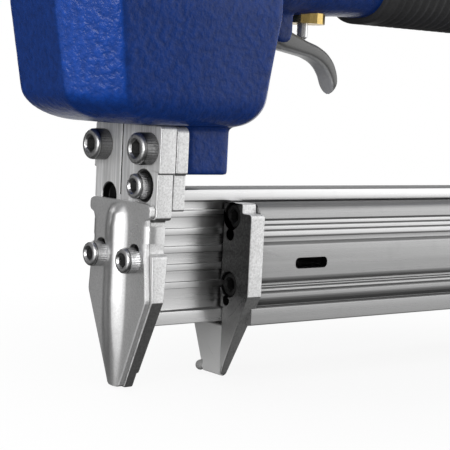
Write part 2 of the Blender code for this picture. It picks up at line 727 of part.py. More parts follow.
def build_driver(sleeve_inner):
    outer = sleeve_inner - FIT
    groove = outer - RING_DEPTH
    ring_low = (PISTON_H - RING_H) / 2
    ring_high = ring_low + RING_H
    body = ((0, PISTON_H), (outer, PISTON_H), (outer, ring_high), (groove, ring_high), (groove, ring_low),
            (outer, ring_low), (outer, 0), (PISTON_BOSS_R, 0), (PISTON_BOSS_R, -PISTON_BOSS_H),
            (0, -PISTON_BOSS_H))
    place = (DRIVE_X, 0, PISTON_BOTTOM)
    piston = add_part("piston", turned_mesh(body), "aluminium", place)
    boss_low = PISTON_BOTTOM - PISTON_BOSS_H
    blade_top = boss_low + BLADE_GRIP
    half_t, half_w = BLADE_T / 2 + FIT, BLADE_W / 2 + FIT
    cut(piston, box_mesh((DRIVE_X - half_t, -half_w, boss_low - OVERRUN),
                         (DRIVE_X + half_t, half_w, blade_top + FIT)))
    pin_z = boss_low + BLADE_GRIP / 2
    pin = ((DRIVE_X - PISTON_BOSS_R + SLIDE, 0, pin_z), (DRIVE_X + PISTON_BOSS_R - SLIDE, 0, pin_z),
           BLADE_PIN_R)
    pin_hole = ((DRIVE_X - PISTON_BOSS_R - FIT, 0, pin_z), (DRIVE_X + PISTON_BOSS_R + FIT, 0, pin_z),
                BLADE_PIN_R + FIT)
    cut(piston, rods_mesh([pin_hole], sides=12))
    ring = add_part("piston_ring", turned_mesh(ring_profile(groove + FIT, outer, ring_low + FIT,
                                                            ring_high - FIT),
                                               closed=True), "rubber", place)
    blade = add_part("driver_blade", box_mesh((BLADE_FRONT, -BLADE_W / 2, BLADE_TIP_REST),
                                              (BLADE_FRONT + BLADE_T, BLADE_W / 2, blade_top)),
                                              "brushed_steel")
    cut(blade, rods_mesh([pin_hole], sides=12))
    blade_pin = add_part("blade_pin", rods_mesh([pin], sides=12), "spring_steel")
    moving_frame("driver_axis", place, [piston, ring, blade, blade_pin])


# Head valve, cap and exhaust

def build_cap():
    valve_low = BODY_TOP - SLEEVE_TOP_GAP + FIT
    valve_high = valve_low + HEAD_VALVE_H
    rim = CAP_CAVITY_R - SLIDE
    hub = HEAD_VALVE_HUB_SHARE * rim
    dish = HEAD_VALVE_H / 2
    body = ((0, valve_high - dish), (hub, valve_high - dish), (hub, valve_high), (rim, valve_high),
            (rim, valve_low),
            (0, valve_low))
    valve = add_part("head_valve", turned_mesh(body), "black_plastic", (DRIVE_X, 0, 0))
    moving_frame("head_valve_axis", (DRIVE_X, 0, valve_low), [valve])
    ceiling = CAP_BASE + CAP_CAVITY_H
    wire = HEAD_WIRE_R
    spring_low = valve_high - dish + FIT + wire
    spring = coil_mesh(hub - 2 * wire - SLIDE, ceiling - FIT - wire - spring_low, HEAD_TURNS, wire)
    add_part("head_valve_spring", spring, "spring_steel", (DRIVE_X, 0, spring_low))

    gasket = add_part("cap_gasket", loft_mesh([body_ring(BODY_TOP + FIT),
                                               body_ring(BODY_TOP + FIT + GASKET_T)]),
                      "rubber")
    cut(gasket, rods_mesh([((DRIVE_X, 0, BODY_TOP - OVERRUN), (DRIVE_X, 0, CAP_BASE + OVERRUN), BORE_R)],
                          sides=24))
    rings = [body_ring(CAP_BASE)]
    for turn in (0, math.pi / 6, math.pi / 3, math.pi / 2):
        height = CAP_TOP - CAP_ROUND * (1 - math.sin(turn))
        rings.append([(x, y, height) for x, y, _ in body_ring(CAP_TOP, CAP_ROUND * (1 - math.cos(turn)))])
    cap = add_part("cylinder_cap", loft_mesh(rings), "blue_paint")
    cut(cap, rods_mesh([((DRIVE_X, 0, CAP_BASE - OVERRUN), (DRIVE_X, 0, ceiling), CAP_CAVITY_R)], sides=24))
    through = [((x, y, BODY_TOP), (x, y, CAP_TOP + OVERRUN), shank_hole("M5")) for x, y in CAP_SCREWS]
    cut(gasket, rods_mesh(through, sides=12))
    cut(cap, rods_mesh(through, sides=12))
    cut(cap, rods_mesh([((x, y, CAP_SCREW_SEAT), (x, y, CAP_TOP + OVERRUN), head_hole("M5"))
                        for x, y in CAP_SCREWS], sides=16))
    exhaust_x = DRIVE_X - EXHAUST_OFFSET
    ports = [((exhaust_x, 0, ceiling - OVERRUN), (exhaust_x, 0, CAP_TOP + OVERRUN), EXHAUST_R)]
    ports.append(((DRIVE_X, 0, ceiling + FIT), (DRIVE_X, 0, CAP_TOP + OVERRUN), shank_hole("M5")))
    cut(cap, rods_mesh(ports, sides=16))
    for number, (x, y) in enumerate(CAP_SCREWS, 1):
        add_screw(f"cap_screw_{number}", "M5", CAP_SCREW_LENGTH, (x, y, CAP_SCREW_SEAT), (0, 0, 1),
                  "dark_screw")
    build_deflector(ceiling)


def build_deflector(ceiling):
    low = CAP_TOP + FIT
    high = low + DEFLECTOR_H
    roof = high - DEFLECTOR_WALL
    inner = DEFLECTOR_R - DEFLECTOR_WALL
    post = shank_hole("M5") + DEFLECTOR_WALL
    profile = ((shank_hole("M5"), high), (DEFLECTOR_R - DEFLECTOR_WALL, high), (DEFLECTOR_R, roof),
               (DEFLECTOR_R, low),
               (inner, low), (inner, roof), (post, roof), (post, low), (shank_hole("M5"), low))
    deflector = add_part("exhaust_deflector", turned_mesh(profile, 24, closed=True), "black_plastic",
                         (DRIVE_X, 0, 0))
    vent = box_mesh((DRIVE_X - DEFLECTOR_R - OVERRUN, -DEFLECTOR_VENT_W / 2, low + DEFLECTOR_WALL),
                    (DRIVE_X - inner / 2, DEFLECTOR_VENT_W / 2, roof - FIT))
    cut(deflector, vent)
    length = high - ceiling - SLIDE
    add_screw("deflector_screw", "M5", length, (DRIVE_X, 0, high), (0, 0, 1), "dark_screw")


# Handle end, grip and air plug

def waist_ring(x, grow):
    """The handle's section under the grip, grown outwards."""
    return oval_ring(x, HANDLE_WAIST[0] + grow, HANDLE_WAIST[1] + grow)


def build_handle_end():
    grip_end = GRIP_START + GRIP_LENGTH
    lip = GRIP_T / 2
    shell = [waist_ring(GRIP_START, FIT + lip), waist_ring(GRIP_START + lip, FIT + GRIP_T),
             waist_ring(grip_end - lip, FIT + GRIP_T), waist_ring(grip_end, FIT + lip)]
    grip = add_part("grip_sleeve", loft_mesh(shell), "rubber")
    cut(grip, loft_mesh([waist_ring(GRIP_START - OVERRUN, FIT), waist_ring(grip_end + OVERRUN, FIT)]))

    gasket_back = HANDLE_END + FIT + GASKET_T
    gasket = add_part("end_cap_gasket", loft_mesh([oval_ring(HANDLE_END + FIT, *HANDLE_BUTT),
                                                   oval_ring(gasket_back, *HANDLE_BUTT)]), "rubber")
    cut(gasket, rods_mesh([((HANDLE_END - OVERRUN, 0, HANDLE_Z), (END_CAP_FRONT + OVERRUN, 0, HANDLE_Z),
                            HANDLE_BORE_R)]))
    half_z, half_y = HANDLE_BUTT
    cap = add_part("handle_end_cap", loft_mesh([oval_ring(END_CAP_FRONT, half_z, half_y),
                                                oval_ring(END_CAP_BACK - END_CAP_EDGE, half_z, half_y),
                                                oval_ring(END_CAP_BACK, half_z - END_CAP_EDGE,
                                                          half_y - END_CAP_EDGE)]), "blue_paint")
    screw_holes = [((HANDLE_END - OVERRUN, y, z), (END_CAP_BACK + OVERRUN, y, z), shank_hole("M4"))
                   for y, z in END_SCREWS]
    cut(gasket, rods_mesh(screw_holes, sides=12))
    cut(cap, rods_mesh(screw_holes, sides=12))
    cut(cap, rods_mesh([((END_CAP_FRONT - OVERRUN, 0, HANDLE_Z), (END_CAP_BACK + OVERRUN, 0, HANDLE_Z),
                         PLUG_THREAD_R + FIT)]))
    for number, (y, z) in enumerate(END_SCREWS, 1):
        add_screw(f"end_cap_screw_{number}", "M4", END_SCREW_SHANK, (END_CAP_BACK, y, z), (1, 0, 0),
                  "zinc_screw")
    build_air_plug()


def build_air_plug():
    nipple = PLUG_HEX_L + PLUG_NIPPLE_L
    neck = PLUG_NECK_SHARE * PLUG_NIPPLE_R
    mouth, ball, neck_top, neck_low, shoulder = [nipple - step for step in PLUG_STEPS]
    profile = ((0, nipple), (PLUG_MOUTH_SHARE * PLUG_NIPPLE_R, nipple), (PLUG_NIPPLE_R, mouth),
               (PLUG_NIPPLE_R, ball), (neck, neck_top), (neck, neck_low), (PLUG_NIPPLE_R, shoulder),
               (PLUG_NIPPLE_R, PLUG_HEX_L / 2), (PLUG_THREAD_R, PLUG_HEX_L / 2),
               (PLUG_THREAD_R, -PLUG_THREAD_L), (0, -PLUG_THREAD_L))
    place = (END_CAP_BACK + FIT, 0, HANDLE_Z)
    turn = UP.rotation_difference(Vector((1, 0, 0))).to_euler()
    plug = add_part("air_plug", turned_mesh(profile, 14), "brass", place, turn)
    hexagon = rods_mesh([((0, 0, 0), (0, 0, PLUG_HEX_L), PLUG_HEX_R)], sides=6)
    unite(plug, hexagon, place, turn)
    cut(plug, rods_mesh([((0, 0, -PLUG_THREAD_L - OVERRUN), (0, 0, nipple + OVERRUN), PLUG_BORE_R)],
                        sides=10),
        place, turn)


# Trigger and valve

def build_trigger():
    hub = [(TRIGGER_HUB * math.cos(a), TRIGGER_HUB * math.sin(a)) for a in np.radians(TRIGGER_HUB_DEGREES)]
    profile = [(x * MM, z * MM) for x, z in (*TRIGGER_UNDER, *TRIGGER_TIP, *TRIGGER_UPPER, *hub)]
    pivot = (TRIGGER_X, 0, TRIGGER_Z)
    trigger = add_part("trigger", outline_mesh(profile, 2 * TRIGGER_HALF), "die_cast", pivot, FACE_Y)
    rounding = trigger.modifiers.new("round", "BEVEL")
    rounding.width = TRIGGER_EDGE
    rounding.segments = 2
    rounding.limit_method = "ANGLE"
    rounding.angle_limit = math.radians(60)
    reach = TRIGGER_HALF + SLIDE + LUG_T
    cut(trigger, rods_mesh([((TRIGGER_X, -reach, TRIGGER_Z), (TRIGGER_X, reach, TRIGGER_Z),
                             TRIGGER_PIN_R + FIT)]))
    add_part("trigger_pin", rods_mesh([((TRIGGER_X, -reach, TRIGGER_Z), (TRIGGER_X, reach, TRIGGER_Z),
                                        TRIGGER_PIN_R)], sides=16), "zinc_screw")
    build_trigger_valve()


def build_trigger_valve():
    floor = VALVE_BOTTOM + VALVE_FLOOR
    roof = VALVE_TOP - VALVE_CAP
    guide = STEM_R + FIT
    vent = VALVE_VENT_R
    body = ((vent, VALVE_TOP), (VALVE_R, VALVE_TOP), (VALVE_R, VALVE_BOTTOM), (guide, VALVE_BOTTOM),
            (guide, floor),
            (VALVE_BORE_R, floor), (VALVE_BORE_R, roof), (vent, roof))
    add_part("trigger_valve_body", turned_mesh(body, 16, closed=True), "brass", (VALVE_X, 0, 0))
    head_low = floor + FIT
    head_high = head_low + STEM_HEAD_H
    stem = ((0, head_high), (STEM_HEAD_R, head_high), (STEM_HEAD_R, head_low), (STEM_R, head_low),
            (STEM_R, STEM_BOTTOM + STEM_NOSE), (STEM_R - STEM_NOSE, STEM_BOTTOM), (0, STEM_BOTTOM))
    stem_part = add_part("trigger_valve_stem", turned_mesh(stem, 16), "zinc_screw", (VALVE_X, 0, 0))
    moving_frame("valve_stem_axis", (VALVE_X, 0, STEM_BOTTOM), [stem_part])
    wire = VALVE_WIRE_R
    low = head_high + FIT + wire
    spring = coil_mesh(STEM_HEAD_R - 2 * wire, roof - FIT - wire - low, VALVE_TURNS, wire)
    add_part("trigger_valve_spring", spring, "spring_steel", (VALVE_X, 0, low))


# Nose

def build_nose():
    half = [(TIP_HALF, 0, 0.8 * MM), (GUIDE_LOW_HALF, TAPER_TOP, 0), (GUIDE_MID_HALF, NOTCH_LOW, 1.2 * MM),
            (NOTCH_HALF, NOTCH_LOW, 1.2 * MM), (NOTCH_HALF, NOTCH_HIGH, 1.2 * MM),
            (LEG_HALF, NOTCH_HIGH, 1.5 * MM),
            (LEG_HALF, SHOULDER_Z, 0), (SHOULDER_HALF, SHOULDER_Z, 0),
            (SHOULDER_HALF, BODY_BOTTOM - FIT, 1.5 * MM)]
    guide = add_part("driver_guide", outline_mesh(rounded(mirrored(half), 2), GUIDE_T), "brushed_steel",
                     plate_at(GUIDE_FRONT, GUIDE_BACK), FACE_X)
    tip, step, taper = [GUIDE_FRONT + thick for thick in (GUIDE_TIP_T, GUIDE_STEP_T, GUIDE_TAPER_T)]
    behind = [(tip, -OVERRUN), (GUIDE_BACK + OVERRUN, -OVERRUN), (GUIDE_BACK + OVERRUN, NOTCH_LOW),
              (GUIDE_BACK, NOTCH_LOW), (taper, TAPER_TOP), (step, TIP_STEP_Z), (tip, TIP_STEP_Z)]
    cut(guide, outline_mesh(behind, 2 * SHOULDER_HALF), (0, 0, 0), FACE_Y)
    backing_half = [(FLANGE_HALF + FIT, RAIL_TOP + FIT, 0), (FLANGE_HALF + FIT, SLIDE_TOP + SLIDE + FIT, 0),
                    (CLAW_STEP_HALF + FIT, SLIDE_TOP + SLIDE + FIT, 0),
                    (CLAW_STEP_HALF + FIT, LEG_BOTTOM, 0),
                    (LEG_HALF, LEG_BOTTOM, 0), (LEG_HALF, SHOULDER_Z, 0),
                    (SHOULDER_HALF, SHOULDER_Z, 0), (SHOULDER_HALF, BODY_BOTTOM - FIT, 3.0 * MM)]
    backing = add_part("backing_plate", outline_mesh(rounded(mirrored(backing_half)), BACKING_T),
                       "cast_steel",
                       plate_at(BACKING_FRONT, BACKING_BACK), FACE_X)
    room = BLADE_W / 2 + BLADE_ROOM
    cut(backing, box_mesh((BACKING_FRONT - OVERRUN, -room, LEG_BOTTOM),
                          (BLADE_FRONT + BLADE_T + BLADE_ROOM, room,
                                                                         BODY_BOTTOM + OVERRUN)))
    ends = [((GUIDE_FRONT - OVERRUN, side * GUIDE_SCREW_Y, GUIDE_SCREW_Z),
             (BOSS_FRONT + OVERRUN, side * GUIDE_SCREW_Y, GUIDE_SCREW_Z),
             shank_hole("M6")) for side in (-1, 1)]
    ends.append(((GUIDE_FRONT - OVERRUN, MIDDLE_SCREW_Y, MIDDLE_SCREW_Z),
                 (BOSS_FRONT + OVERRUN, MIDDLE_SCREW_Y, MIDDLE_SCREW_Z), SCREW_SIZES["M5"][2] + FIT / 2))
    cut(backing, rods_mesh(ends, sides=16))
    ends += [((GUIDE_FRONT - OVERRUN, side * COVER_SCREW_Y, COVER_SCREW_Z),
              (GUIDE_BACK + OVERRUN, side * COVER_SCREW_Y, COVER_SCREW_Z),
              shank_hole("M5")) for side in (-1, 1)]
    cut(guide, rods_mesh(ends, sides=16))
    recess = GUIDE_FRONT + MIDDLE_RECESS_DEPTH
    cut(guide, rods_mesh([((GUIDE_FRONT - OVERRUN, MIDDLE_SCREW_Y, MIDDLE_SCREW_Z),
                           (recess, MIDDLE_SCREW_Y, MIDDLE_SCREW_Z), MIDDLE_RECESS_R),
                          ((GUIDE_FRONT - OVERRUN, SPARE_HOLE_Y, SPARE_HOLE_Z),
                           (GUIDE_FRONT + SPARE_HOLE_DEPTH, SPARE_HOLE_Y, SPARE_HOLE_Z), SPARE_HOLE_R)]))
    forward = (-1, 0, 0)
    for side, label in ((1, "far"), (-1, "near")):
        add_screw("guide_screw_" + label, "M6", GUIDE_SCREW_LENGTH,
                  (GUIDE_FRONT, side * GUIDE_SCREW_Y, GUIDE_SCREW_Z), forward, "dark_screw")
        add_screw("cover_screw_" + label, "M5", GUIDE_BACK - COVER_FRONT,
                  (COVER_FRONT, side * COVER_SCREW_Y, COVER_SCREW_Z), forward, "zinc_screw")
    add_screw("guide_screw_middle", "M5", BACKING_BACK - recess, (recess, MIDDLE_SCREW_Y, MIDDLE_SCREW_Z),
              forward,
              "zinc_screw")
    build_cover()


def ridge_ring(z, half, height, base):
    """Half an ellipse bulging forward from the sheet."""
    arc = [math.pi * i / 8 for i in range(9)]
    return [(base - height * math.sin(a), half * math.cos(a), z) for a in arc]


def ridge_rings(half, height, base):
    """The ridge swells in below the cover's top and sinks towards the tip."""
    shares = ((RIDGE_TOP, 0.25, 0.1), (RIDGE_TOP - 3 * MM, 0.8, 0.8), (RIDGE_TOP - 7 * MM, 1, 1),
              (TAPER_TOP, 1, 1),
              (10 * MM, 0.8, 0.9), (COVER_TIP_Z + 0.4 * MM, 0.6, 0.5))
    return [ridge_ring(z, half * wide, height * tall, base) for z, wide, tall in shares]


def build_cover():
    half = [(TIP_HALF, COVER_TIP_Z, 1.2 * MM), (COVER_WIDE_HALF, TAPER_TOP, 2.0 * MM),
            (COVER_NECK_HALF, TAB_LOW - 1.5 * MM, 0), (COVER_NECK_HALF, COVER_EAR_LOW, 0.6 * MM),
            (COVER_EAR_HALF, COVER_EAR_LOW, 1.5 * MM), (COVER_EAR_HALF, COVER_TOP, 2.4 * MM)]
    cover = add_part("nose_cover", outline_mesh(rounded(mirrored(half)), COVER_T), "satin_steel",
                     plate_at(COVER_FRONT, COVER_BACK), FACE_X)
    unite(cover, loft_mesh(ridge_rings(RIDGE_HALF, RIDGE_H + COVER_T / 2, COVER_FRONT + COVER_T / 2)))
    hollow_half = RIDGE_HALF - COVER_T
    cut(cover, loft_mesh(ridge_rings(hollow_half, RIDGE_H + OVERRUN, COVER_BACK + OVERRUN)))
    for side in (-1, 1):
        inner, outer = sorted((side * (NOTCH_HALF + FIT), side * (NOTCH_HALF + FIT + TAB_T)))
        unite(cover, box_mesh((COVER_FRONT + FIT, inner, TAB_LOW),
                              (COVER_FRONT + TAB_REACH, outer, TAB_HIGH)))
        slot_r = SCREW_SIZES["M5"][2] + SLIDE
        slot = rounded([(-slot_r, -slot_r, 0.98 * slot_r), (slot_r, -slot_r, 0.98 * slot_r),
                        (slot_r, SLOT_RISE, 0.98 * slot_r), (-slot_r, SLOT_RISE, 0.98 * slot_r)])
        middle = (COVER_FRONT + COVER_T / 2, side * COVER_SCREW_Y, COVER_SCREW_Z)
        cut(cover, outline_mesh(slot, COVER_T + 2 * SLIDE), middle, FACE_X)


# Fixed rail and rear bracket

def build_rail():
    near = [(FOOT_NEAR, FOOT_BOTTOM), (FOOT_NEAR, FOOT_TOP), (WEB_NEAR, FOOT_TOP)]
    for number in reversed(range(RIB_COUNT)):
        middle = RIB_TOP_Z - number * RIB_PITCH
        low, high = middle - RIB_W / 2, middle + RIB_W / 2
        near += [(WEB_NEAR, low), (WEB_NEAR - RIB_H, low), (WEB_NEAR - RIB_H, high), (WEB_NEAR, high)]
    near += [(WEB_NEAR, FLANGE_Z), (-FLANGE_HALF, FLANGE_Z), (-FLANGE_HALF, RAIL_TOP)]
    far = [(FLANGE_HALF, RAIL_TOP), (FLANGE_HALF, FLANGE_Z), (WEB_FAR, FLANGE_Z), (WEB_FAR, FOOT_TOP),
           (FOOT_FAR, FOOT_TOP), (FOOT_FAR, FOOT_BOTTOM)]
    rail = add_part("fixed_rail", outline_mesh(near + far, RAIL_END - RAIL_FRONT), "aluminium",
                    plate_at(RAIL_FRONT, RAIL_END), FACE_X)
    seat = BRACKET_BASE + BRACKET_FOOT_T
    end = seat - RAIL_SCREW_SHANK - FIT
    holes = [((x, 0, end), (x, 0, seat + OVERRUN), shank_hole("M4")) for x in BRACKET_SCREWS]
    cut(rail, rods_mesh(holes, sides=12))
    shut = GUIDE_BACK + FIT - CLAW_FRONT
    hook = LATCH_X + LATCH_HOOK_FRONT + shut
    cut(rail, box_mesh((hook - SLIDE, FOOT_NEAR - OVERRUN, FOOT_BOTTOM - OVERRUN),
                       (hook + LATCH_HOOK_W + SLIDE, FOOT_FAR + OVERRUN, FOOT_BOTTOM + LATCH_NOTCH_DEPTH)))
    build_bracket(seat)


def build_bracket(seat):
    start = BRACKET_END - BRACKET_LENGTH
    web = (start + BRACKET_END) / 2
    turn = BRACKET_FILLET
    profile = [(start, BRACKET_BASE, 0), (BRACKET_END, BRACKET_BASE, 0), (BRACKET_END, seat, 0),
               (web + BRACKET_WEB / 2, seat, turn), (web + BRACKET_WEB / 2, BRACKET_SEAT, turn),
               (BRACKET_END, BRACKET_SEAT, 0), (BRACKET_END, BRACKET_TOP, 0), (start, BRACKET_TOP, 0),
               (start, BRACKET_SEAT, 0), (web - BRACKET_WEB / 2, BRACKET_SEAT, turn),
               (web - BRACKET_WEB / 2, seat, turn), (start, seat, 0)]
    bracket = add_part("rear_bracket", outline_mesh(rounded(profile), 2 * BRACKET_HALF), "blue_paint",
                       (0, 0, 0), FACE_Y)
    foot_holes = [((x, 0, BRACKET_BASE - OVERRUN), (x, 0, seat + OVERRUN), shank_hole("M4"))
                  for x in BRACKET_SCREWS]
    head_holes = [((x, 0, BRACKET_SEAT - OVERRUN), (x, 0, BRACKET_TOP + OVERRUN), shank_hole("M5"))
                  for x in BRACKET_SCREWS]
    cut(bracket, rods_mesh(foot_holes + head_holes, sides=12))
    for x, label in zip(BRACKET_SCREWS, ("front", "rear")):
        add_screw("rail_screw_" + label, "M4", RAIL_SCREW_SHANK, (x, 0, seat), (0, 0, 1), "zinc_screw")
        add_screw("bracket_screw_" + label, "M5", BRACKET_SCREW_SHANK, (x, 0, BRACKET_SEAT), (0, 0, -1),
                  "zinc_screw")


# Sliding magazine

def groove_points(half, heights):
    """Square grooves down an outer wall at Y = half, listed from the top."""
    points = []
    for z in heights:
        high, low = z + GROOVE_W / 2, z - GROOVE_W / 2
        points += [(half, high), (half - GROOVE_DEPTH, high), (half - GROOVE_DEPTH, low), (half, low)]
    return points


def slide_wall():
    """Outer face of one wall of the sliding cover from its top lip down, as distances from the middle."""
    shoulder = [(10.5 * MM, SLIDE_TOP), (12.6 * MM, 61.1 * MM), (14.8 * MM, 59.4 * MM),
                (SLIDE_RIB_HALF, 57.0 * MM)]
    step = [(SLIDE_RIB_HALF, 50.0 * MM), (15.2 * MM, 49.6 * MM), (15.2 * MM, 48.4 * MM),
            (SLIDE_HALF, 47.6 * MM),
            (SLIDE_HALF, 35.5 * MM), (15.4 * MM, 35.3 * MM), (15.4 * MM, 34.4 * MM),
            (SLIDE_RIB_HALF, 34.2 * MM)]
    cove = [(SLIDE_RIB_HALF, 29.2 * MM), (15.0 * MM, 28.4 * MM), (14.7 * MM, 27.6 * MM),
            (15.0 * MM, 26.9 * MM),
            (SLIDE_HALF, 26.4 * MM), (SLIDE_HALF, SLIDE_BOTTOM)]
    return (shoulder + groove_points(SLIDE_RIB_HALF, SLIDE_UPPER_GROOVES) + step
            + groove_points(SLIDE_RIB_HALF, SLIDE_LOWER_GROOVES) + cove)


def slide_inside(inner, foot_room):
    """Inner face of one wall from its top lip down to the bridge, as distances from the middle."""
    wall, hollow = 12.6 * MM, 14.0 * MM
    return [(inner, SLIDE_TOP), (inner, SLIDE_BLOCK_LOW), (wall, SLIDE_BLOCK_LOW),
            (hollow, SLIDE_BLOCK_LOW - 1.4 * MM),
            (hollow, SLIDE_MID_TOP + 1.4 * MM), (wall, SLIDE_MID_TOP), (inner, SLIDE_MID_TOP),
            (inner, LEDGE_Z),
            (foot_room, LEDGE_Z), (foot_room, SLIDE_BRIDGE[1])]


def build_slide():
    pieces = [build_claw()]
    bridge = [(SLIDE_BRIDGE_HALF, SLIDE_BOTTOM), (SLIDE_BRIDGE_HALF, SLIDE_BRIDGE[0])]
    near_out = [(-y, z) for y, z in slide_wall() + bridge]
    far_out = [(y, z) for y, z in reversed(slide_wall() + bridge)]
    far_in = slide_inside(FAR_INNER, FOOT_ROOM_FAR)
    near_in = [(-y, z) for y, z in reversed(slide_inside(-NEAR_INNER, -FOOT_ROOM_NEAR))]
    cover = add_part("slide_cover", outline_mesh(near_out + far_out + far_in + near_in, SLIDE_LENGTH),
                     "aluminium",
                     plate_at(SLIDE_FRONT, SLIDE_END), FACE_X)
    for inner, outer in (CELL_Y, (-CELL_Y[1], -CELL_Y[0])):
        cut(cover, box_mesh((SLIDE_FRONT - OVERRUN, inner, CELL_Z[0]),
                            (SLIDE_END + OVERRUN, outer, CELL_Z[1])))
    half_l, half_h = SIGHT_SLOT_L / 2, SIGHT_SLOT_H / 2
    slot = rounded([(-half_l, -half_h, 0.95 * half_h), (half_l, -half_h, 0.95 * half_h),
                    (half_l, half_h, 0.95 * half_h), (-half_l, half_h, 0.95 * half_h)])
    slot_x = SLIDE_FRONT + SIGHT_SLOT_X + half_l
    cut(cover, outline_mesh(slot, 2 * OVERRUN), (slot_x, -SLIDE_HALF, SIGHT_SLOT_Z), FACE_Y)
    holes = [((SLIDE_FRONT - OVERRUN, side * y, z), (CLAW_FRONT + FIT + CLAW_SCREW_LENGTH + OVERRUN,
                                                     side * y, z),
              shank_hole("M5")) for y, z in CLAW_SCREWS for side in (-1, 1)]
    end_y, end_z = CLAW_SCREWS[0]
    holes += [((SLIDE_END - END_SCREW_LENGTH, side * end_y, end_z),
               (SLIDE_END + OVERRUN, side * end_y, end_z),
               shank_hole("M4")) for side in (-1, 1)]
    cut(cover, rods_mesh(holes, sides=12))
    hook = LATCH_X + LATCH_HOOK_FRONT
    cut(cover, box_mesh((hook - 2 * SLIDE, -LATCH_HALF - SLIDE, SLIDE_BRIDGE[0] - SLIDE),
                        (hook + LATCH_HOOK_W + 2 * SLIDE, LATCH_HALF + SLIDE, SLIDE_BRIDGE[1] + SLIDE / 2)))
    pieces.append(cover)
    head_h = SCREW_SIZES["M5"][1]
    seat = CLAW_FRONT + head_h + 2 * FIT
    for height, (y, z) in zip(("upper", "lower"), CLAW_SCREWS):
        for side, label in ((1, "far"), (-1, "near")):
            pieces.append(add_screw(f"claw_screw_{height}_{label}", "M5", CLAW_SCREW_LENGTH,
                                    (seat, side * y, z),
                                    (-1, 0, 0), "dark_screw"))
    pieces += build_slide_end(end_y, end_z)
    pieces += build_pusher_rod()
    moving_frame("magazine_axis", (CLAW_FRONT, 0, 0), pieces)
    build_pusher()


def build_claw():
    outline = mirrored([(CLAW_TIP_HALF, 0.3 * MM, 1.0 * MM), (CLAW_HALF, TAPER_TOP, 0),
                        (CLAW_HALF, CLAW_SHOULDER_Z, 1.5 * MM), (CLAW_STEP_HALF, CLAW_SHOULDER_Z, 0.8 * MM),
                        (CLAW_STEP_HALF, SLIDE_TOP, 1.0 * MM)])
    claw = add_part("claw", outline_mesh(rounded(outline), CLAW_T), "cast_steel",
                    plate_at(CLAW_FRONT, CLAW_BACK),
                    FACE_X)
    window = [(FOOT_ROOM_NEAR, CLAW_BRIDGE_Z), (FOOT_ROOM_FAR, CLAW_BRIDGE_Z), (FOOT_ROOM_FAR, LEDGE_Z),
              (FAR_INNER, LEDGE_Z), (FAR_INNER, RAIL_TOP), (NEAR_INNER, RAIL_TOP), (NEAR_INNER, LEDGE_Z),
              (FOOT_ROOM_NEAR, LEDGE_Z)]
    cut(claw, outline_mesh(window, CLAW_T + 2 * OVERRUN), plate_at(CLAW_FRONT, CLAW_BACK), FACE_X)
    recess = [(FOOT_ROOM_NEAR, -OVERRUN), (CLAW_HALF + OVERRUN, -OVERRUN),
              (CLAW_HALF + OVERRUN, CLAW_BRIDGE_Z + SLIDE),
              (FOOT_ROOM_NEAR, CLAW_BRIDGE_Z + SLIDE)]
    cut(claw, outline_mesh(recess, 2 * CLAW_RECESS), (CLAW_FRONT, 0, 0), FACE_X)
    cut(claw, box_mesh((CLAW_FRONT - OVERRUN, NEAR_INNER, CLAW_BRIDGE_Z),
                       (CLAW_FRONT + CLAW_RECESS, BLADE_W / 2 + BLADE_ROOM, SLIDE_TOP + OVERRUN)))
    fade = [(-CLAW_RECESS, -OVERRUN), (CLAW_RECESS, -OVERRUN), (CLAW_RECESS, 0), (0, CLAW_LAND_Z),
            (-CLAW_RECESS, CLAW_LAND_Z)]
    cut(claw, outline_mesh(fade, 2 * CLAW_HALF), (CLAW_FRONT, FOOT_ROOM_NEAR - CLAW_HALF + SLIDE, 0), FACE_Y)
    tip_back = CLAW_FRONT + CLAW_TIP_T
    behind = [(tip_back, 0), (tip_back, -OVERRUN), (CLAW_BACK + OVERRUN, -OVERRUN),
              (CLAW_BACK + OVERRUN, TAPER_TOP), (CLAW_BACK, TAPER_TOP)]
    cut(claw, outline_mesh(behind, 3 * CLAW_HALF), (0, 0, 0), FACE_Y)
    ends = (CLAW_FRONT - OVERRUN, CLAW_BACK + OVERRUN)
    holes = [((ends[0], side * y, z), (ends[1], side * y, z), shank_hole("M5"))
             for y, z in CLAW_SCREWS for side in (-1, 1)]
    holes += [((ends[0], side * y, z), (ends[1], side * y, z), CLAW_PIN_HOLE_R)
              for y, z in CLAW_PIN_HOLES for side in (-1, 1)]
    cut(claw, rods_mesh(holes, sides=12))
    depth = SCREW_SIZES["M5"][1] + 2 * FIT
    cut(claw, rods_mesh([((ends[0], side * y, z), (CLAW_FRONT + depth, side * y, z), head_hole("M5"))
                         for y, z in CLAW_SCREWS for side in (-1, 1)]))
    ball = (CLAW_FRONT + CLAW_RECESS - 0.6 * MM, CLAW_TIP_HALF + 2.2 * MM, 1.9 * MM)
    root = (CLAW_FRONT + CLAW_RECESS + 2.0 * MM, CLAW_TIP_HALF - 2.0 * MM, 2.6 * MM)
    unite(claw, rods_mesh([(ball, root, 0.6 * CLAW_NUB_R)], sides=10))
    nub = bpy.data.meshes.new("nub")
    shape = bmesh.new()
    bmesh.ops.create_uvsphere(shape, u_segments=10, v_segments=6, radius=CLAW_NUB_R)
    shape.to_mesh(nub)
    shape.free()
    unite(claw, nub, ball)
    return claw


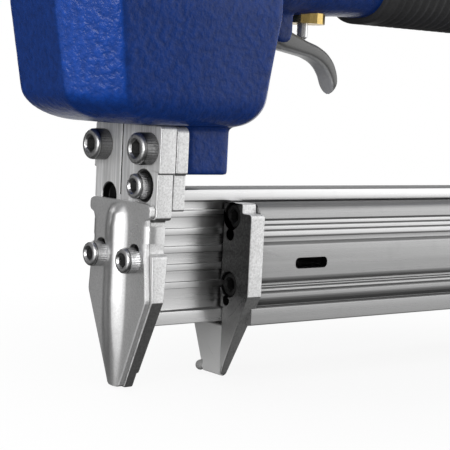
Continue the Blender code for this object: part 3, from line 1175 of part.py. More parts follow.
def build_slide_end(screw_y, screw_z):
    front = SLIDE_END + FIT
    back = front + END_PLATE_T
    lug_half = LATCH_HALF + FIT + LATCH_LUG_T
    outline = mirrored([(lug_half, LATCH_Z - LATCH_LUG_R, 1.5 * MM), (lug_half, SLIDE_BOTTOM, 0),
                        (SLIDE_HALF, SLIDE_BOTTOM, 1.5 * MM), (SLIDE_HALF, 57.5 * MM, 3.0 * MM),
                        (11.0 * MM, SLIDE_TOP, 1.0 * MM)])
    plate = add_part("slide_end_plate", outline_mesh(rounded(outline), END_PLATE_T), "black_plastic",
                     plate_at(front, back), FACE_X)
    cut(plate, rods_mesh([((front - OVERRUN, side * screw_y, screw_z),
                           (back + OVERRUN, side * screw_y, screw_z),
                           shank_hole("M4")) for side in (-1, 1)], sides=12))
    cut(plate, box_mesh((front - OVERRUN, -LATCH_HALF - FIT, LATCH_Z - 2 * LATCH_LUG_R),
                        (back + OVERRUN, LATCH_HALF + FIT, SLIDE_BRIDGE[0] - FIT)))
    reach = LATCH_X - LATCH_LUG_R - front
    lug_top = SLIDE_BRIDGE[0] - FIT - LATCH_Z
    for side in (-1, 1):
        lug = rounded([(reach, -LATCH_LUG_R, 3.0 * MM), (END_PLATE_T / 2, -LATCH_LUG_R, 0),
                       (END_PLATE_T / 2, lug_top, 0),
                       (reach, lug_top, 0)])
        lug_y = side * (LATCH_HALF + FIT + LATCH_LUG_T / 2)
        unite(plate, outline_mesh(lug, LATCH_LUG_T), (front, lug_y, LATCH_Z), FACE_Y)
    pin_end = LATCH_HALF + FIT + LATCH_LUG_T
    cut(plate, rods_mesh([((LATCH_X, -pin_end - OVERRUN, LATCH_Z), (LATCH_X, pin_end + OVERRUN, LATCH_Z),
                           LATCH_PIN_R + FIT)]))
    pin = add_part("latch_pin", rods_mesh([((LATCH_X, -pin_end, LATCH_Z), (LATCH_X, pin_end, LATCH_Z),
                                            LATCH_PIN_R)],
                                          sides=16), "zinc_screw")
    screws = [add_screw("end_plate_screw_" + label, "M4", END_SCREW_LENGTH, (back, side * screw_y, screw_z),
                        (1, 0, 0),
                        "zinc_screw") for side, label in ((1, "far"), (-1, "near"))]
    build_latch(back)
    return [plate, pin, *screws]


def build_latch(plate_back):
    hook_top = FOOT_BOTTOM - LATCH_LIFT - LATCH_Z
    bar_top = SLIDE_BRIDGE[0] - LATCH_Z - 2.0 * MM
    tail = plate_back - LATCH_X + 8.0 * MM
    low = -LATCH_LUG_R + 0.7 * MM
    profile = [(LATCH_HOOK_FRONT, low, 2.0 * MM), (tail, low - 2.0 * MM, 1.2 * MM),
               (tail, low + 2.0 * MM, 1.2 * MM),
               (6.0 * MM, bar_top, 2.0 * MM), (LATCH_HOOK_FRONT + LATCH_HOOK_W, bar_top, 0),
               (LATCH_HOOK_FRONT + LATCH_HOOK_W, hook_top, 0.5 * MM),
               (LATCH_HOOK_FRONT, hook_top - 0.8 * MM, 0.5 * MM)]
    latch = add_part("latch_lever", outline_mesh(rounded(profile), 2 * LATCH_HALF), "die_cast",
                     (LATCH_X, 0, LATCH_Z), FACE_Y)
    cut(latch, rods_mesh([((LATCH_X, -2 * LATCH_HALF, LATCH_Z), (LATCH_X, 2 * LATCH_HALF, LATCH_Z),
                           LATCH_PIN_R + FIT)]))


def build_pusher_rod():
    front, back = CLAW_BACK + FIT, SLIDE_END
    rod = add_part("pusher_rod", rods_mesh([((front, PUSHER_ROD_Y, PUSHER_ROD_Z),
                                             (back, PUSHER_ROD_Y, PUSHER_ROD_Z),
                                             PUSHER_ROD_R)], sides=12), "spring_steel")
    wire = PUSHER_WIRE_R
    low = CLAW_BACK + 2 * FIT + PUSHER_BLOCK_L + FIT + wire
    spring = coil_mesh(PUSHER_ROD_R + SLIDE + wire, back - FIT - wire - low, PUSHER_TURNS, wire)
    turn = UP.rotation_difference(Vector((1, 0, 0))).to_euler()
    return [rod, add_part("pusher_spring", spring, "spring_steel", (low, PUSHER_ROD_Y, PUSHER_ROD_Z), turn)]


def build_pusher():
    block_front = CLAW_BACK + 2 * FIT
    block_back = block_front + PUSHER_BLOCK_L
    blade_front = CLAW_FRONT + CLAW_RECESS + FIT
    pusher = add_part("nail_pusher", box_mesh((block_front, PUSHER_BLOCK_Y[0], PUSHER_BLOCK_Z[0]),
                                              (block_back, PUSHER_BLOCK_Y[1], PUSHER_BLOCK_Z[1])),
                                              "die_cast")
    unite(pusher, box_mesh((block_front, 0, PUSHER_BLOCK_Z[0] + MM),
                           (block_back - MM, PUSHER_BLOCK_Y[0] + MM, PUSHER_BLOCK_Z[1] - MM)))
    unite(pusher, box_mesh((blade_front, -PUSHER_BLADE_HALF, PUSHER_BLADE_Z[0]),
                           (block_back - 2 * MM, PUSHER_BLADE_HALF, PUSHER_BLADE_Z[1])))
    cut(pusher, rods_mesh([((block_front - OVERRUN, PUSHER_ROD_Y, PUSHER_ROD_Z),
                            (block_back + OVERRUN, PUSHER_ROD_Y, PUSHER_ROD_Z), PUSHER_ROD_R + FIT)],
                            sides=16))
    moving_frame("pusher_axis", (block_front, PUSHER_ROD_Y, PUSHER_ROD_Z), [pusher])


build_housing()
build_cylinder()
build_cap()
build_handle_end()
build_trigger()
build_nose()
build_rail()
build_slide()
bpy.context.view_layer.update()
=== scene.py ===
"""Flooring nailer: the visual model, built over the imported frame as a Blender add-on that is never installed.

Lengths are in millimetres until put_mesh writes a mesh. X runs back from the driver guide, Z up from the
nose tip, and the near side, which the camera sees, is at negative Y.
"""

import json
import math

import bmesh
import bpy
import numpy as np
from bpy.props import FloatProperty, FloatVectorProperty, PointerProperty
from bpy.types import Operator, Panel, PropertyGroup
from mathutils import Matrix


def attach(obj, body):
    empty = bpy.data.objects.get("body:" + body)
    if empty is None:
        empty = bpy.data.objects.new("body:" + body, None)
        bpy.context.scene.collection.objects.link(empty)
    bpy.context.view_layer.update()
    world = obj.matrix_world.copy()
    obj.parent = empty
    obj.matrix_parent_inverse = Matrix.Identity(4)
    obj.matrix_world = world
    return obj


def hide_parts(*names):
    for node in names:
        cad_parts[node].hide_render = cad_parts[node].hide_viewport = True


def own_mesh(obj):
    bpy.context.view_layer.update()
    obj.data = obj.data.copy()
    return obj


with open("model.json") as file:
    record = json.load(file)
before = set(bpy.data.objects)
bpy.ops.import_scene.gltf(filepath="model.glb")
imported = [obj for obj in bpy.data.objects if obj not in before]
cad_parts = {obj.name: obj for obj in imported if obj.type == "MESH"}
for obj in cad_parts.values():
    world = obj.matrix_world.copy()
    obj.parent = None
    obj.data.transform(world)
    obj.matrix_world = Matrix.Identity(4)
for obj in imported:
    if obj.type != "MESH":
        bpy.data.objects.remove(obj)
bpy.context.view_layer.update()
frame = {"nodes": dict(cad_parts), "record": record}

bl_info = {
    "name": "Flooring nailer",
    "version": (1, 0, 0),
    "blender": (4, 5, 0),
    "location": "3D View > Sidebar > Nailer",
    "description": "Builds the visual model of a pneumatic flooring nailer over its packed frame",
    "category": "Add Mesh",
}

MM = 0.001
NEAR, FAR = -1, 1
GAP = 0.3  # between pieces that meet
CUT_PAST = 5  # how far a cutter reaches past what it cuts
CUT_WIDE, CUT_HIGH, CUT_AHEAD = 25, 70, 30  # half width, top and front of cutters larger than the magazine

# Camera, solved from the screws and plates in the photograph
CAMERA_PLACE = (-251.234, -375.345, 98.355)
CAMERA_YAW, CAMERA_DOWN, CAMERA_ROLL = 37.74, 5.45, 2.75
CAMERA_FOCAL_PX, IMAGE_PX, SENSOR = 1361.6, 450, 36.0

# Studio panels seen in reflections: facing, the cosines where it starts and is full, and level
PANELS = (((0.61, 0.79, 0.0), (0.87, 0.97), 1.0), ((-0.985, -0.174, 0.0), (0.8, 0.95), 1.0),
          ((0.94, -0.34, 0.0), (0.66, 0.92), 1.0), ((0.0, 0.0, 1.0), (0.5, 0.85), 1.0),
          ((-0.174, 0.985, 0.0), (0.94, 0.985), 0.02))
PANEL_FLATTEN, ROOM_LEVEL, AMBIENT_LEVEL = (1.0, 1.0, 0.6), 0.22, 0.55
BELOW_LEVEL, BELOW_EDGES = 0.2, (-0.45, -0.12)

# Lamps: name, place, size, level on a surface that faces it, and share of gloss
LAMP_TARGET = (60, 0, 70)
LAMPS = (("right", (700, -560, 300), 700, 0.14, 0.3), ("left", (-720, -450, 200), 450, 0.4, 0.9),
         ("top", (-60, -40, 850), 600, 0.22, 0.3), ("rear", (250, 800, 330), 600, 0.25, 0.4))

# Floor: half its side, its height, and where the shadow fades to plain white
FLOOR_HALF, FLOOR_Z, FLOOR_BOUNCE = 6000, -0.6, 0.4
SHADOW_CENTRE, SHADOW_EDGES, SHADOW_WHITE = (100, 0, 0), (60, 200), 0.88

# Screws: head radius, head height, shank radius, half the socket's flats
SCREWS = {"M6": (5.25, 6.0, 2.85, 2.5), "M5": (4.25, 5.0, 2.35, 2.0), "M4": (3.5, 4.0, 1.85, 1.5)}
SCREW_STEPS, KNURL_GROOVES = 108, 18
# Painted shade: share of each look's colour on the knurled sides of the screw heads
HEAD_SIDE_TONES = {"dark_screw": 0.28, "sunk_screw": 0.3, "zinc_screw": 0.85}

# Body: an octagon about the driver's axis
DRIVE_X = 4.3
BODY_BOTTOM, BODY_TOP, BODY_REF_Z, BODY_DRAFT_TOP = 87.8, 190.0, 100.0, 125.0
BODY_ENDS, BODY_HALF_WIDTH, BODY_FACET_HALF, BODY_CHAMFER_X = (40.7, 39.8), 29.3, 13.5, 12.7
BODY_CROWNS, CHAMFER_BOW_R, SIDE_BOW_R = (0.7, 0.4), 100, 250
BODY_DRAFTS, BODY_FILLET_SHARES, BODY_FILLET_RISE = (0.179, 0.116, 0.101), (2.3, 1.26, 1.0), 1.17
BODY_LEVELS = (110.0, BODY_DRAFT_TOP, 150.0, BODY_TOP)
BOSS_X, BOSS_HALF, BOSS_Z, BOSS_ROUND = (8.3, 27.2), 17.0, (71.8, 92.0), 3.0
CAP_BASE, CAP_TOP, CAP_ROUND, CAP_SEAT = 191.4, 222.4, 7.0, 208.4
CAP_SCREW_X, CAP_SCREW_Y, GASKET_BORE_R, GASKET_INSET = 30.5, 19.0, 26.0, 0.3
DEFLECTOR_R, DEFLECTOR_Z, DEFLECTOR_WALL, DEFLECTOR_VENT_HALF = 20.0, (222.7, 232.7), 2.4, 10.0
DEFLECTOR_BORE_R, DEFLECTOR_HUB_R, DEFLECTOR_RIBS, DEFLECTOR_STEPS = 2.6, 5.0, 32, 192

# Handle: X, half height and half width of its sections
HANDLE_Z, HANDLE_POWER = 148.0, 2.6
HANDLE_SECTIONS = ((22.0, 22.0, 20.0), (47.3, 22.0, 20.0), (65.3, 20.5, 17.5), (93.0, 19.0, 16.5),
                   (163.0, 19.0, 16.5), (187.0, 23.0, 19.5), (195.0, 23.0, 19.5))
GRIP_X, GRIP_EDGE_T, GRIP_SWELL, WAIST = (96.0, 160.0), 0.9, 1.3, (19.0, 16.5)
GRIP_ROUND, GRIP_RIB_PITCH, GRIP_PLAIN = 1.6, 4.0, 5
END_CAP_X, END_CAP_ROUND, BUTT = (196.4, 206.0), 2.5, (23.0, 19.5)
END_SCREW_Y, END_SCREW_Z = 12.3, 14.5
PLUG_X, PLUG_HEX_L, PLUG_HEX_R, PLUG_R, PLUG_BORE_R, PLUG_END = 206.3, 6.0, 9.0, 6.0, 2.0, 236.3

# Trigger: its lower and upper edges from the pivot
TRIGGER_PIVOT, TRIGGER_HUB_R, TRIGGER_HUB_EDGE = (55.0, 121.5), 3.9, 0.5
LUG_R, LUG_T, LUG_GAP, LUG_ROUND, LUG_RISE = 4.0, 3.5, 4.6, 3.6, 12
TRIGGER_POWERS, TRIGGER_ROUND_START = (0.45, 0.6), 0.88
TRIGGER_UNDER = ((-2.6, -3.4), (3.0, -6.2), (11.0, -7.4), (16.5, -8.3), (21.0, -9.9), (23.8, -11.9),
                 (26.3, -15.1), (27.6, -18.3), (28.4, -21.0))
TRIGGER_UPPER = ((-1.0, 3.6), (7.0, 0.6), (15.0, -2.4), (20.5, -3.9), (25.0, -6.2), (28.2, -9.4),
                 (29.9, -12.9), (30.5, -16.8), (29.4, -21.0))

# Nose plates
GUIDE_X, BACKING_X, COVER_X = (-3.1, 3.1), (3.4, 8.0), (-5.2, -3.4)
TAPER_TOP, NOTCH_Z, SHOULDER_Z, PLATE_TOP = 30.4, (45.6, 57.0), 72.2, 87.6
GUIDE_TIP_HALF, TAPER_HALF, BELOW_NOTCH_HALF, NOTCH_HALF = 4.3, 18.4, 17.6, 15.2
PLATE_HALF, PLATE_TOP_HALF, MIDDLE_RECESS = 18.6, 19.6, (5.4, 0.7)
GUIDE_THICKNESSES, GUIDE_STEP_Z = (3.4, 4.1, 4.6), 5.0  # at the tip, above its step and at the taper's top
BACKING_LOW_HALVES, BACKING_LOW_Z, BACKING_SLOT = (7.5, 14.3), (62.6, 60.0), (3.4, 5.5)
BACKING_SLOT_Z = (55.0, 95.0)
GUIDE_SCREW_Y, GUIDE_SCREW_Z, MIDDLE_SCREW = 13.5, 80.0, (-10.6, 67.7)
COVER_SCREW_Y, COVER_SCREW_Z, COVER_SLOT_RISE = 10.0, 43.45, 5.4
SPARE_HOLE, SPARE_HOLE_R, SPARE_HOLE_DEPTH = (9.7, 63.0), 4.4, 3.0
SPLIT_Y, SPLIT_Z, SPLIT_DEPTH = (2.6, 3.05), (64.0, 90.0), 0.7
SHADED_Y, SHADED_Z = 14.0, (40.0, 58.0)
COVER_WIDTHS = ((0.3, 3.2), (0.8, 4.1), (30.0, 17.2), (31.0, 17.4), (48.0, 15.8), (57.0, 15.8), (57.4, 16.6),
                (57.9, 17.8), (58.6, 18.2), (60.6, 18.2), (61.6, 17.7), (62.1, 16.6), (62.3, 14.6))
COVER_FAR_TRIM, COVER_ROLL_WIDTH, COVER_ROLL_DEPTH = 0.9, (0.8, 2.6), (0.28, 0.8)
RIDGE_Y, RIDGE_SPREAD = -1.4, (0.86, 1.55)
RIDGE_SHARES = ((0.3, 0.55, 0.2), (10.0, 0.9, 0.45), (20.0, 1.0, 0.8), (29.0, 1.0, 1.0), (54.0, 1.0, 1.0),
                (58.0, 0.9, 0.8), (60.6, 0.7, 0.25), (61.6, 0.6, 0.0), (62.3, 0.6, 0.0))
TAB_Z, TAB_T, TAB_BACK, TAB_OUT, TAB_BEND = (49.5, 55.0), 1.6, 1.9, 17.1, 3.8

# Fixed rail and rear bracket
RAIL_X, RAIL_TOP, FLANGE_Z, FLANGE_HALF = (5.6, 198.5), 66.3, 62.2, 7.2
WEB_Y, FOOT_Y, FOOT_Z = (-3.0, -0.9), (-4.8, 4.5), (20.0, 24.7)
RIB_TOP_Z, RIB_PITCH, RIB_W, RIB_H, RIB_COUNT = 57.7, 6.1, 2.3, 0.7, 5
BRACKET_X, BRACKET_Z, BRACKET_HALF, BRACKET_WEB = (166.0, 197.0), (66.6, 123.7), 7.0, 8.0
BRACKET_FOOT_TOP, BRACKET_HEAD_LOW, BRACKET_SCREWS = 73.1, 118.1, (171.0, 192.0)
PAD_END, PAD_Z, PAD_ROUND = 195.0, (124.0, 133.0), 1.5

# Sliding magazine
CLAW_X, CLAW_HALF, CLAW_STEP_HALF, CLAW_TIP_HALVES, CLAW_RECESS = (35.6, 41.8), 19.0, 14.0, (5.2, 6.9), 2.0
CLAW_TOP, CLAW_SHOULDER_Z, CLAW_BRIDGE_Z, CLAW_LAND_Z = 61.8, 58.5, 18.2, 6.0
CLAW_TIP_T, CLAW_FADE = 3.0, 0.5
CLAW_SCREWS, CLAW_PINS, CLAW_PIN_R = ((8.6, 57.1), (8.2, 33.3)), ((7.9, 50.7), (7.0, 27.6)), 1.7
CLAW_WINDOW_Y, FOOT_ROOM_Y, LEDGE_Z, BLADE_ROOM_Y = (-3.9, 1.3), (-5.3, 5.0), 25.0, 3.4
SLIDE_X, SLIDE_TOP, SLIDE_HALF, SLIDE_RIB_HALF = (42.1, 232.1), 61.8, 17.0, 16.2
SLIDE_BOTTOM, SLIDE_BRIDGE_Z, SLIDE_BRIDGE_HALF = 20.0, (18.0, 19.6), 7.5
SLIDE_BLOCK_LOW, SLIDE_MID_TOP, SLIDE_HOLLOW = 53.4, 37.6, (12.6, 14.0)
UPPER_GROOVES, LOWER_GROOVES, GROOVE = (56.4, 54.6, 52.7), (32.7, 31.3), 0.6
# Painted light on the slide's wall: bands of painted highlight and painted shade, black painted shade in the
# grooves; low and high edge, tone and its share
SLIDE_LIGHT_BANDS = ((50.8, 56.2, 0.9, 0.6), (31.5, 33.4, 0.7, 0.5), (25.9, 29.0, 0.1, 0.6), (34.2, 36.6, 0.1, 0.5),
               *((z - 0.33, z + 0.33, 0.03, 0.9) for z in UPPER_GROOVES + LOWER_GROOVES))
SLIDE_LIP_X, SLIDE_LIP_TOP, SLIDE_TOP_LIP = 39.4, 29.8, 10.5
CLAW_ROOM_HALF, CLAW_ROOM_Z, HOOK_HOLE_Z, HOOK_HOLE_PLAY = 12.5, (10, 40), (17.0, 19.9), 1
CLAW_NUB_R, CLAW_NUB_OUT, CLAW_NUB_BACK, CLAW_SCREW_SEAT = 1.85, 2.1, 0.6, 5.6
SIGHT_SLOT_X, SIGHT_SLOT_Z = (58.1, 72.9), (39.05, 42.95)
END_PLATE_X, END_PLATE_SHOULDER = (232.4, 238.4), (11.0, 57.5)
END_PLATE_LUG_HALF, END_PLATE_LUG_Z, END_PLATE_LUG_REACH = 8.4, (8.3, 17.7), 4.2
LATCH_PIVOT, LATCH_HALF, LATCH_HOOK_X, LATCH_HOOK_W = (222.1, 12.5), 4.6, 204.1, 4.0
LATCH_TOP, LATCH_HOOK_TOPS, LATCH_PAD = 16.0, (18.8, 19.6), 8.0
LATCH_PLAY, LATCH_NOTCH_Z = 0.5, (10.0, 22.5)

# Outer face of the slide's wall: distance out, height and corner radius, at its waist, bead and foot
SLIDE_WAIST = ((SLIDE_RIB_HALF, 50.6, 0.3), (15.2, 50.2, 0.3), (15.2, 48.7, 0.6), (SLIDE_HALF, 47.6, 0.8),
               (SLIDE_HALF, 34.9, 1.8), (15.2, 34.4, 0.2), (15.2, 33.6, 0.2), (SLIDE_RIB_HALF, 33.4, 0.2))
SLIDE_BEAD = ((16.6, 30.6, 0.3), (16.6, 29.4, 1.0), (16.1, 28.0, 1.2), (15.2, 27.0, 1.0), (14.4, 26.5, 0.2))
SLIDE_FOOT = ((14.4, 26.2, 0.2), (SLIDE_HALF, 26.0, 0.5), (SLIDE_HALF, SLIDE_BOTTOM, 0.6))

# Springs: node, body, joint, axis, centre line, radius, wire radius, ends along the axis, turns and travel
SPRINGS = (("head_valve_spring", "tool", "head_valve_lift", (0, 0, 1), (DRIVE_X, 0, 0), 10.9, 0.9,
            (189.7, 210.0), 4, 4.0),
           ("trigger_valve_spring", "tool", "valve_stem_push", (0, 0, 1), (70.0, 0, 0), 3.0, 0.4,
            (132.1, 144.0), 6, 2.8),
           ("pusher_spring", "magazine", "pusher_slide", (1, 0, 0), (0, 7.0, 45.0), 2.5, 0.5,
            (56.8, 231.7), 40, 120.2))

# Looks of the claw and its nub: edges of its painted shade inside and at the front, of that shade's fade and of
# the nub, and the blacks of painted shade
CLAW_INSIDE_Y, CLAW_INSIDE_Z, CLAW_SHADE_FADE_Z, CLAW_SHADE_WANDER = (13.4, 13.8), (24.5, 25.5), (7.0, 34.0), 6.0
NUB_EDGES_Y, NUB_EDGES_Z = (7.0, 7.15), (4.0, 4.4)
PIT_SHADE, CLAW_INSIDE_SHADE, SLOT_SHADE, SOCKET_SHADE = [(level,) * 3 for level in (0.006, 0.01, 0.008, 0.004)]

# Finishes: metallic, roughness, specks per metre, their dark and light shares, and the bump's strength
PLAIN_FINISHES = {"die_cast": (0.4, 0.38, 1300, 0.9, 1.1, 0.04),
                  "dark_screw": (1.0, 0.34, 1800, 0.7, 1.4, 0.08),
                  "zinc_screw": (1.0, 0.28, 1500, 0.82, 1.2, 0.05),
                  "black_plastic": (0.0, 0.5, 1700, 0.8, 1.5, 0.2),
                  "rubber": (0.0, 0.68, 1500, 0.8, 1.4, 0.25),
                  "brass": (1.0, 0.3, 1200, 0.85, 1.15, 0.05),
                  "spring_steel": (1.0, 0.3, 1600, 0.8, 1.2, 0.05)}
SUNK_FINISH = (1.0, 0.75, 1800, 0.7, 1.4, 0.08)


class NailerSizes(PropertyGroup):
    """Sizes that a user can change, in metres."""
    body_edge: FloatProperty(name="Body edge", description="Radius of the body's upright edges",
                             default=0.0026, min=0.001, max=0.006, unit="LENGTH")
    body_fillet: FloatProperty(name="Body fillet", description="Radius round the body's underside",
                               default=0.0084, min=0.002, max=0.012, unit="LENGTH")
    cast_detail: FloatProperty(name="Cast detail", description="Face size of the casting's skin",
                               default=0.00095, min=0.0009, max=0.004, unit="LENGTH")
    plate_edge: FloatProperty(name="Plate edge", description="Broken edge on the nose plates and the claw",
                              default=0.00045, min=0.0001, max=0.001, unit="LENGTH")
    ridge_height: FloatProperty(name="Ridge height", description="How far the nose cover's ridge stands out",
                                default=0.003, min=0.001, max=0.004, unit="LENGTH")
    ridge_half: FloatProperty(name="Ridge half width", description="Half the width of the nose cover's ridge",
                              default=0.0064, min=0.002, max=0.007, unit="LENGTH")
    knurl: FloatProperty(name="Knurl", description="Depth of the grooves round the screw heads",
                         default=0.0004, min=0.0, max=0.0004, unit="LENGTH")
    trigger_half: FloatProperty(name="Trigger half width", description="Half the trigger's width",
                                default=0.0042, min=0.002, max=0.0042, unit="LENGTH")
    grip_rib: FloatProperty(name="Grip rib", description="Height of the ribs on the hand grip",
                            default=0.0006, min=0.0, max=0.001, unit="LENGTH")


def colour_property(name, description, default):
    """A colour that a user can change."""
    return FloatVectorProperty(name=name, description=description, subtype="COLOR", size=3, min=0.0, max=1.0,
                               default=default)


class NailerColours(PropertyGroup):
    """Colours of the finishes."""
    blue_paint: colour_property("Blue paint", "Textured paint on the castings", (0.006, 0.045, 0.26))
    brushed_steel: colour_property("Brushed steel", "Front of the driver guide", (0.92, 0.92, 0.915))
    cast_steel: colour_property("Cast steel", "Sides of the nose plates and the claw", (0.95, 0.95, 0.945))
    satin_steel: colour_property("Satin steel", "Nose cover", (0.91, 0.91, 0.91))
    aluminium: colour_property("Aluminium", "Fixed rail", (0.74, 0.74, 0.74))
    slide_aluminium: colour_property("Slide aluminium", "Sliding cover of the magazine", (0.38, 0.38, 0.38))
    die_cast: colour_property("Die casting", "Trigger and latch", (0.4, 0.4, 0.395))
    dark_screw: colour_property("Dark screws", "Blackened socket screws", (0.6, 0.6, 0.6))
    zinc_screw: colour_property("Zinc screws", "Plated socket screws and pins", (0.78, 0.78, 0.785))
    black_plastic: colour_property("Black plastic", "Deflector and end plate", (0.02, 0.02, 0.021))
    rubber: colour_property("Rubber", "Hand grip and seals", (0.025, 0.025, 0.026))
    brass: colour_property("Brass", "Air plug and trigger valve", (0.62, 0.45, 0.16))
    spring_steel: colour_property("Spring steel", "Springs and rods", (0.4, 0.4, 0.41))
    floor: colour_property("Floor", "Studio floor", (0.94, 0.94, 0.94))


# Mesh helpers

def put_mesh(name, points, faces):
    """An object at the origin whose mesh holds the points, given in millimetres, and the faces."""
    mesh = bpy.data.meshes.new(name)
    mesh.from_pydata((np.asarray(points, float).reshape(-1, 3) * MM).tolist(), [], faces)
    mesh.update()
    obj = bpy.data.objects.new(name, mesh)
    bpy.context.scene.collection.objects.link(obj)
    return obj


def ring_faces(rows, columns, offset=0):
    """Quads between neighbouring rings of points, and one face over each end."""
    index = offset + np.arange(rows * columns).reshape(rows, columns)
    turned = np.roll(index, -1, axis=1)
    quads = np.stack([index[:-1], turned[:-1], turned[1:], index[1:]], axis=-1).reshape(-1, 4)
    return quads.tolist() + [index[0][::-1].tolist(), index[-1].tolist()]


def skin(name, *shells):
    """Closed shells in one object, each an array of rings along a path with as many points in every ring."""
    points, faces, count = [], [], 0
    for rings in shells:
        rows, columns = rings.shape[:2]
        points.append(rings.reshape(-1, 3))
        faces += ring_faces(rows, columns, count)
        count += rows * columns
    return put_mesh(name, np.concatenate(points), faces)


def tone_rings(obj, tones):
    """Keep a tone for each ring of points, which the screws' looks read as painted shade."""
    count = len(obj.data.vertices) // len(tones)
    layer = obj.data.attributes.new("tone", "FLOAT", "POINT")
    layer.data.foreach_set("value", np.repeat(np.asarray(tones, np.float32), count))


def rounded(corners, steps=5):
    """Closed outline: straight sides joined at each corner (x, y, radius) by a parabola that leaves both
    sides where an arc of that radius would."""
    corners = np.asarray(corners, float)
    here = corners[:, :2]
    back = np.roll(here, 1, axis=0) - here
    ahead = np.roll(here, -1, axis=0) - here
    back /= np.linalg.norm(back, axis=1, keepdims=True)
    ahead /= np.linalg.norm(ahead, axis=1, keepdims=True)
    corner_angle = np.arccos(np.clip((back * ahead).sum(axis=1), -1, 1))
    reach = (corners[:, 2] / np.tan(corner_angle / 2))[:, None]
    t = np.linspace(0, 1, steps + 1)[None, :, None]
    curve = ((1 - t) ** 2 * (here + back * reach)[:, None] + 2 * t * (1 - t) * here[:, None]
             + t ** 2 * (here + ahead * reach)[:, None])
    outline = curve.reshape(-1, 2)
    apart = np.linalg.norm(outline - np.roll(outline, 1, axis=0), axis=1) > 1e-4
    return outline[apart]


def mirrored(half):
    """A full outline from its positive side, listed from one end to the other."""
    return [*half, *((-corner[0], *corner[1:]) for corner in reversed(half))]


def box_outline(low, high, radius=0.0):
    """A rectangle between two corners, all four rounded alike."""
    return rounded([(low[0], low[1], radius), (high[0], low[1], radius), (high[0], high[1], radius),
                    (low[0], high[1], radius)])


def carried(outline, axis, stations):
    """Rings: an outline of two coordinates carried straight along the third, named axis."""
    outline = np.asarray(outline, float)
    rings = np.empty((len(stations), len(outline), 3))
    along = "XYZ".index(axis)
    across = [i for i in range(3) if i != along]
    rings[:, :, across] = outline[None]
    rings[:, :, along] = np.asarray(stations, float)[:, None]
    return rings


def extruded(name, outline, axis, low, high):
    """A solid: an outline carried straight along a named axis from low to high."""
    return skin(name, carried(outline, axis, (low, high)))


def basis(direction):
    """Three unit vectors, the last along direction."""
    third = np.asarray(direction, float)
    first = np.array((0.0, 1.0, 0.0)) if abs(third[1]) < 0.5 else np.array((0.0, 0.0, 1.0))
    return first, np.cross(third, first), third


def round_rings(radius, height, centre, direction, steps=64):
    """Rings about an axis: at angle a and row i the point lies radius[i, a] out and height[i] along."""
    angle = np.linspace(0, 2 * math.pi, steps, endpoint=False)
    out_u, out_v, along = basis(direction)
    radius = np.broadcast_to(np.asarray(radius, float).reshape(len(height), -1), (len(height), steps))
    out = np.cos(angle)[None, :, None] * out_u + np.sin(angle)[None, :, None] * out_v
    rise = np.asarray(height, float)[:, None, None] * along
    return np.asarray(centre, float) + radius[:, :, None] * out + rise


def rod(name, low, high, radius, axis, steps=40):
    """A round cutter along a named axis, from low to high."""
    direction = np.eye(3)["XYZ".index(axis)]
    centre = np.where(direction > 0, 0, np.asarray(low, float))
    span = np.array((low["XYZ".index(axis)], high))
    return skin(name, round_rings([[radius], [radius]], span, centre, direction, steps))


def tidy(mesh):
    """Merge points that coincide and turn every face outwards."""
    work = bmesh.new()
    work.from_mesh(mesh)
    bmesh.ops.remove_doubles(work, verts=work.verts, dist=0.002 * MM)
    bmesh.ops.recalc_face_normals(work, faces=work.faces)
    work.to_mesh(mesh)
    work.free()


def apply_modifiers(obj):
    """Keep the shape that the modifiers give, and drop them."""
    bpy.context.view_layer.update()
    shaped = obj.evaluated_get(bpy.context.evaluated_depsgraph_get())
    mesh = bpy.data.meshes.new_from_object(shaped)
    obj.modifiers.clear()
    obj.data = mesh


def carve(obj, *tools, operation="DIFFERENCE"):
    """Take each tool from the object, or join it on, and drop the tool."""
    tidy(obj.data)
    for tool in tools:
        tidy(tool.data)
        change = obj.modifiers.new(tool.name, "BOOLEAN")
        change.operation = operation
        change.solver = "EXACT"
        change.object = tool
    apply_modifiers(obj)
    for tool in tools:
        bpy.data.objects.remove(tool)


def break_edges(obj, width, segments=2, angle=28):
    """Round every edge sharper than the angle, and keep the flats flat with weighted normals."""
    tidy(obj.data)
    edge = obj.modifiers.new("edges", "BEVEL")
    edge.width = width
    edge.segments = segments
    edge.limit_method = "ANGLE"
    edge.angle_limit = math.radians(angle)
    edge.use_clamp_overlap = False
    apply_modifiers(obj)
    shade(obj, 50)
    flat = obj.modifiers.new("flats", "WEIGHTED_NORMAL")
    flat.keep_sharp = True
    apply_modifiers(obj)


def shade(obj, angle=40):
    """Smooth shading, broken at edges sharper than the angle."""
    mesh = obj.data
    mesh.polygons.foreach_set("use_smooth", np.ones(len(mesh.polygons), bool))
    mesh.set_sharp_from_angle(angle=math.radians(angle))


def cast(obj, voxel, passes=3):
    """One skin over all the object's shells, with its inner edges filled and its outer ones softened."""
    tidy(obj.data)
    blend = obj.modifiers.new("one_skin", "REMESH")
    blend.mode = "VOXEL"
    blend.voxel_size = voxel
    soften = obj.modifiers.new("soften", "SMOOTH")
    soften.factor = 0.5
    soften.iterations = passes
    apply_modifiers(obj)
    shade(obj, 180)


def settle(obj, material, body, *nodes):
    """Give a finished piece its material and its body, and hide the CAD nodes it stands for."""
    obj.data.materials.clear()
    obj.data.materials.append(material)
    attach(obj, body)
    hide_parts(*nodes)
    return obj


# Materials

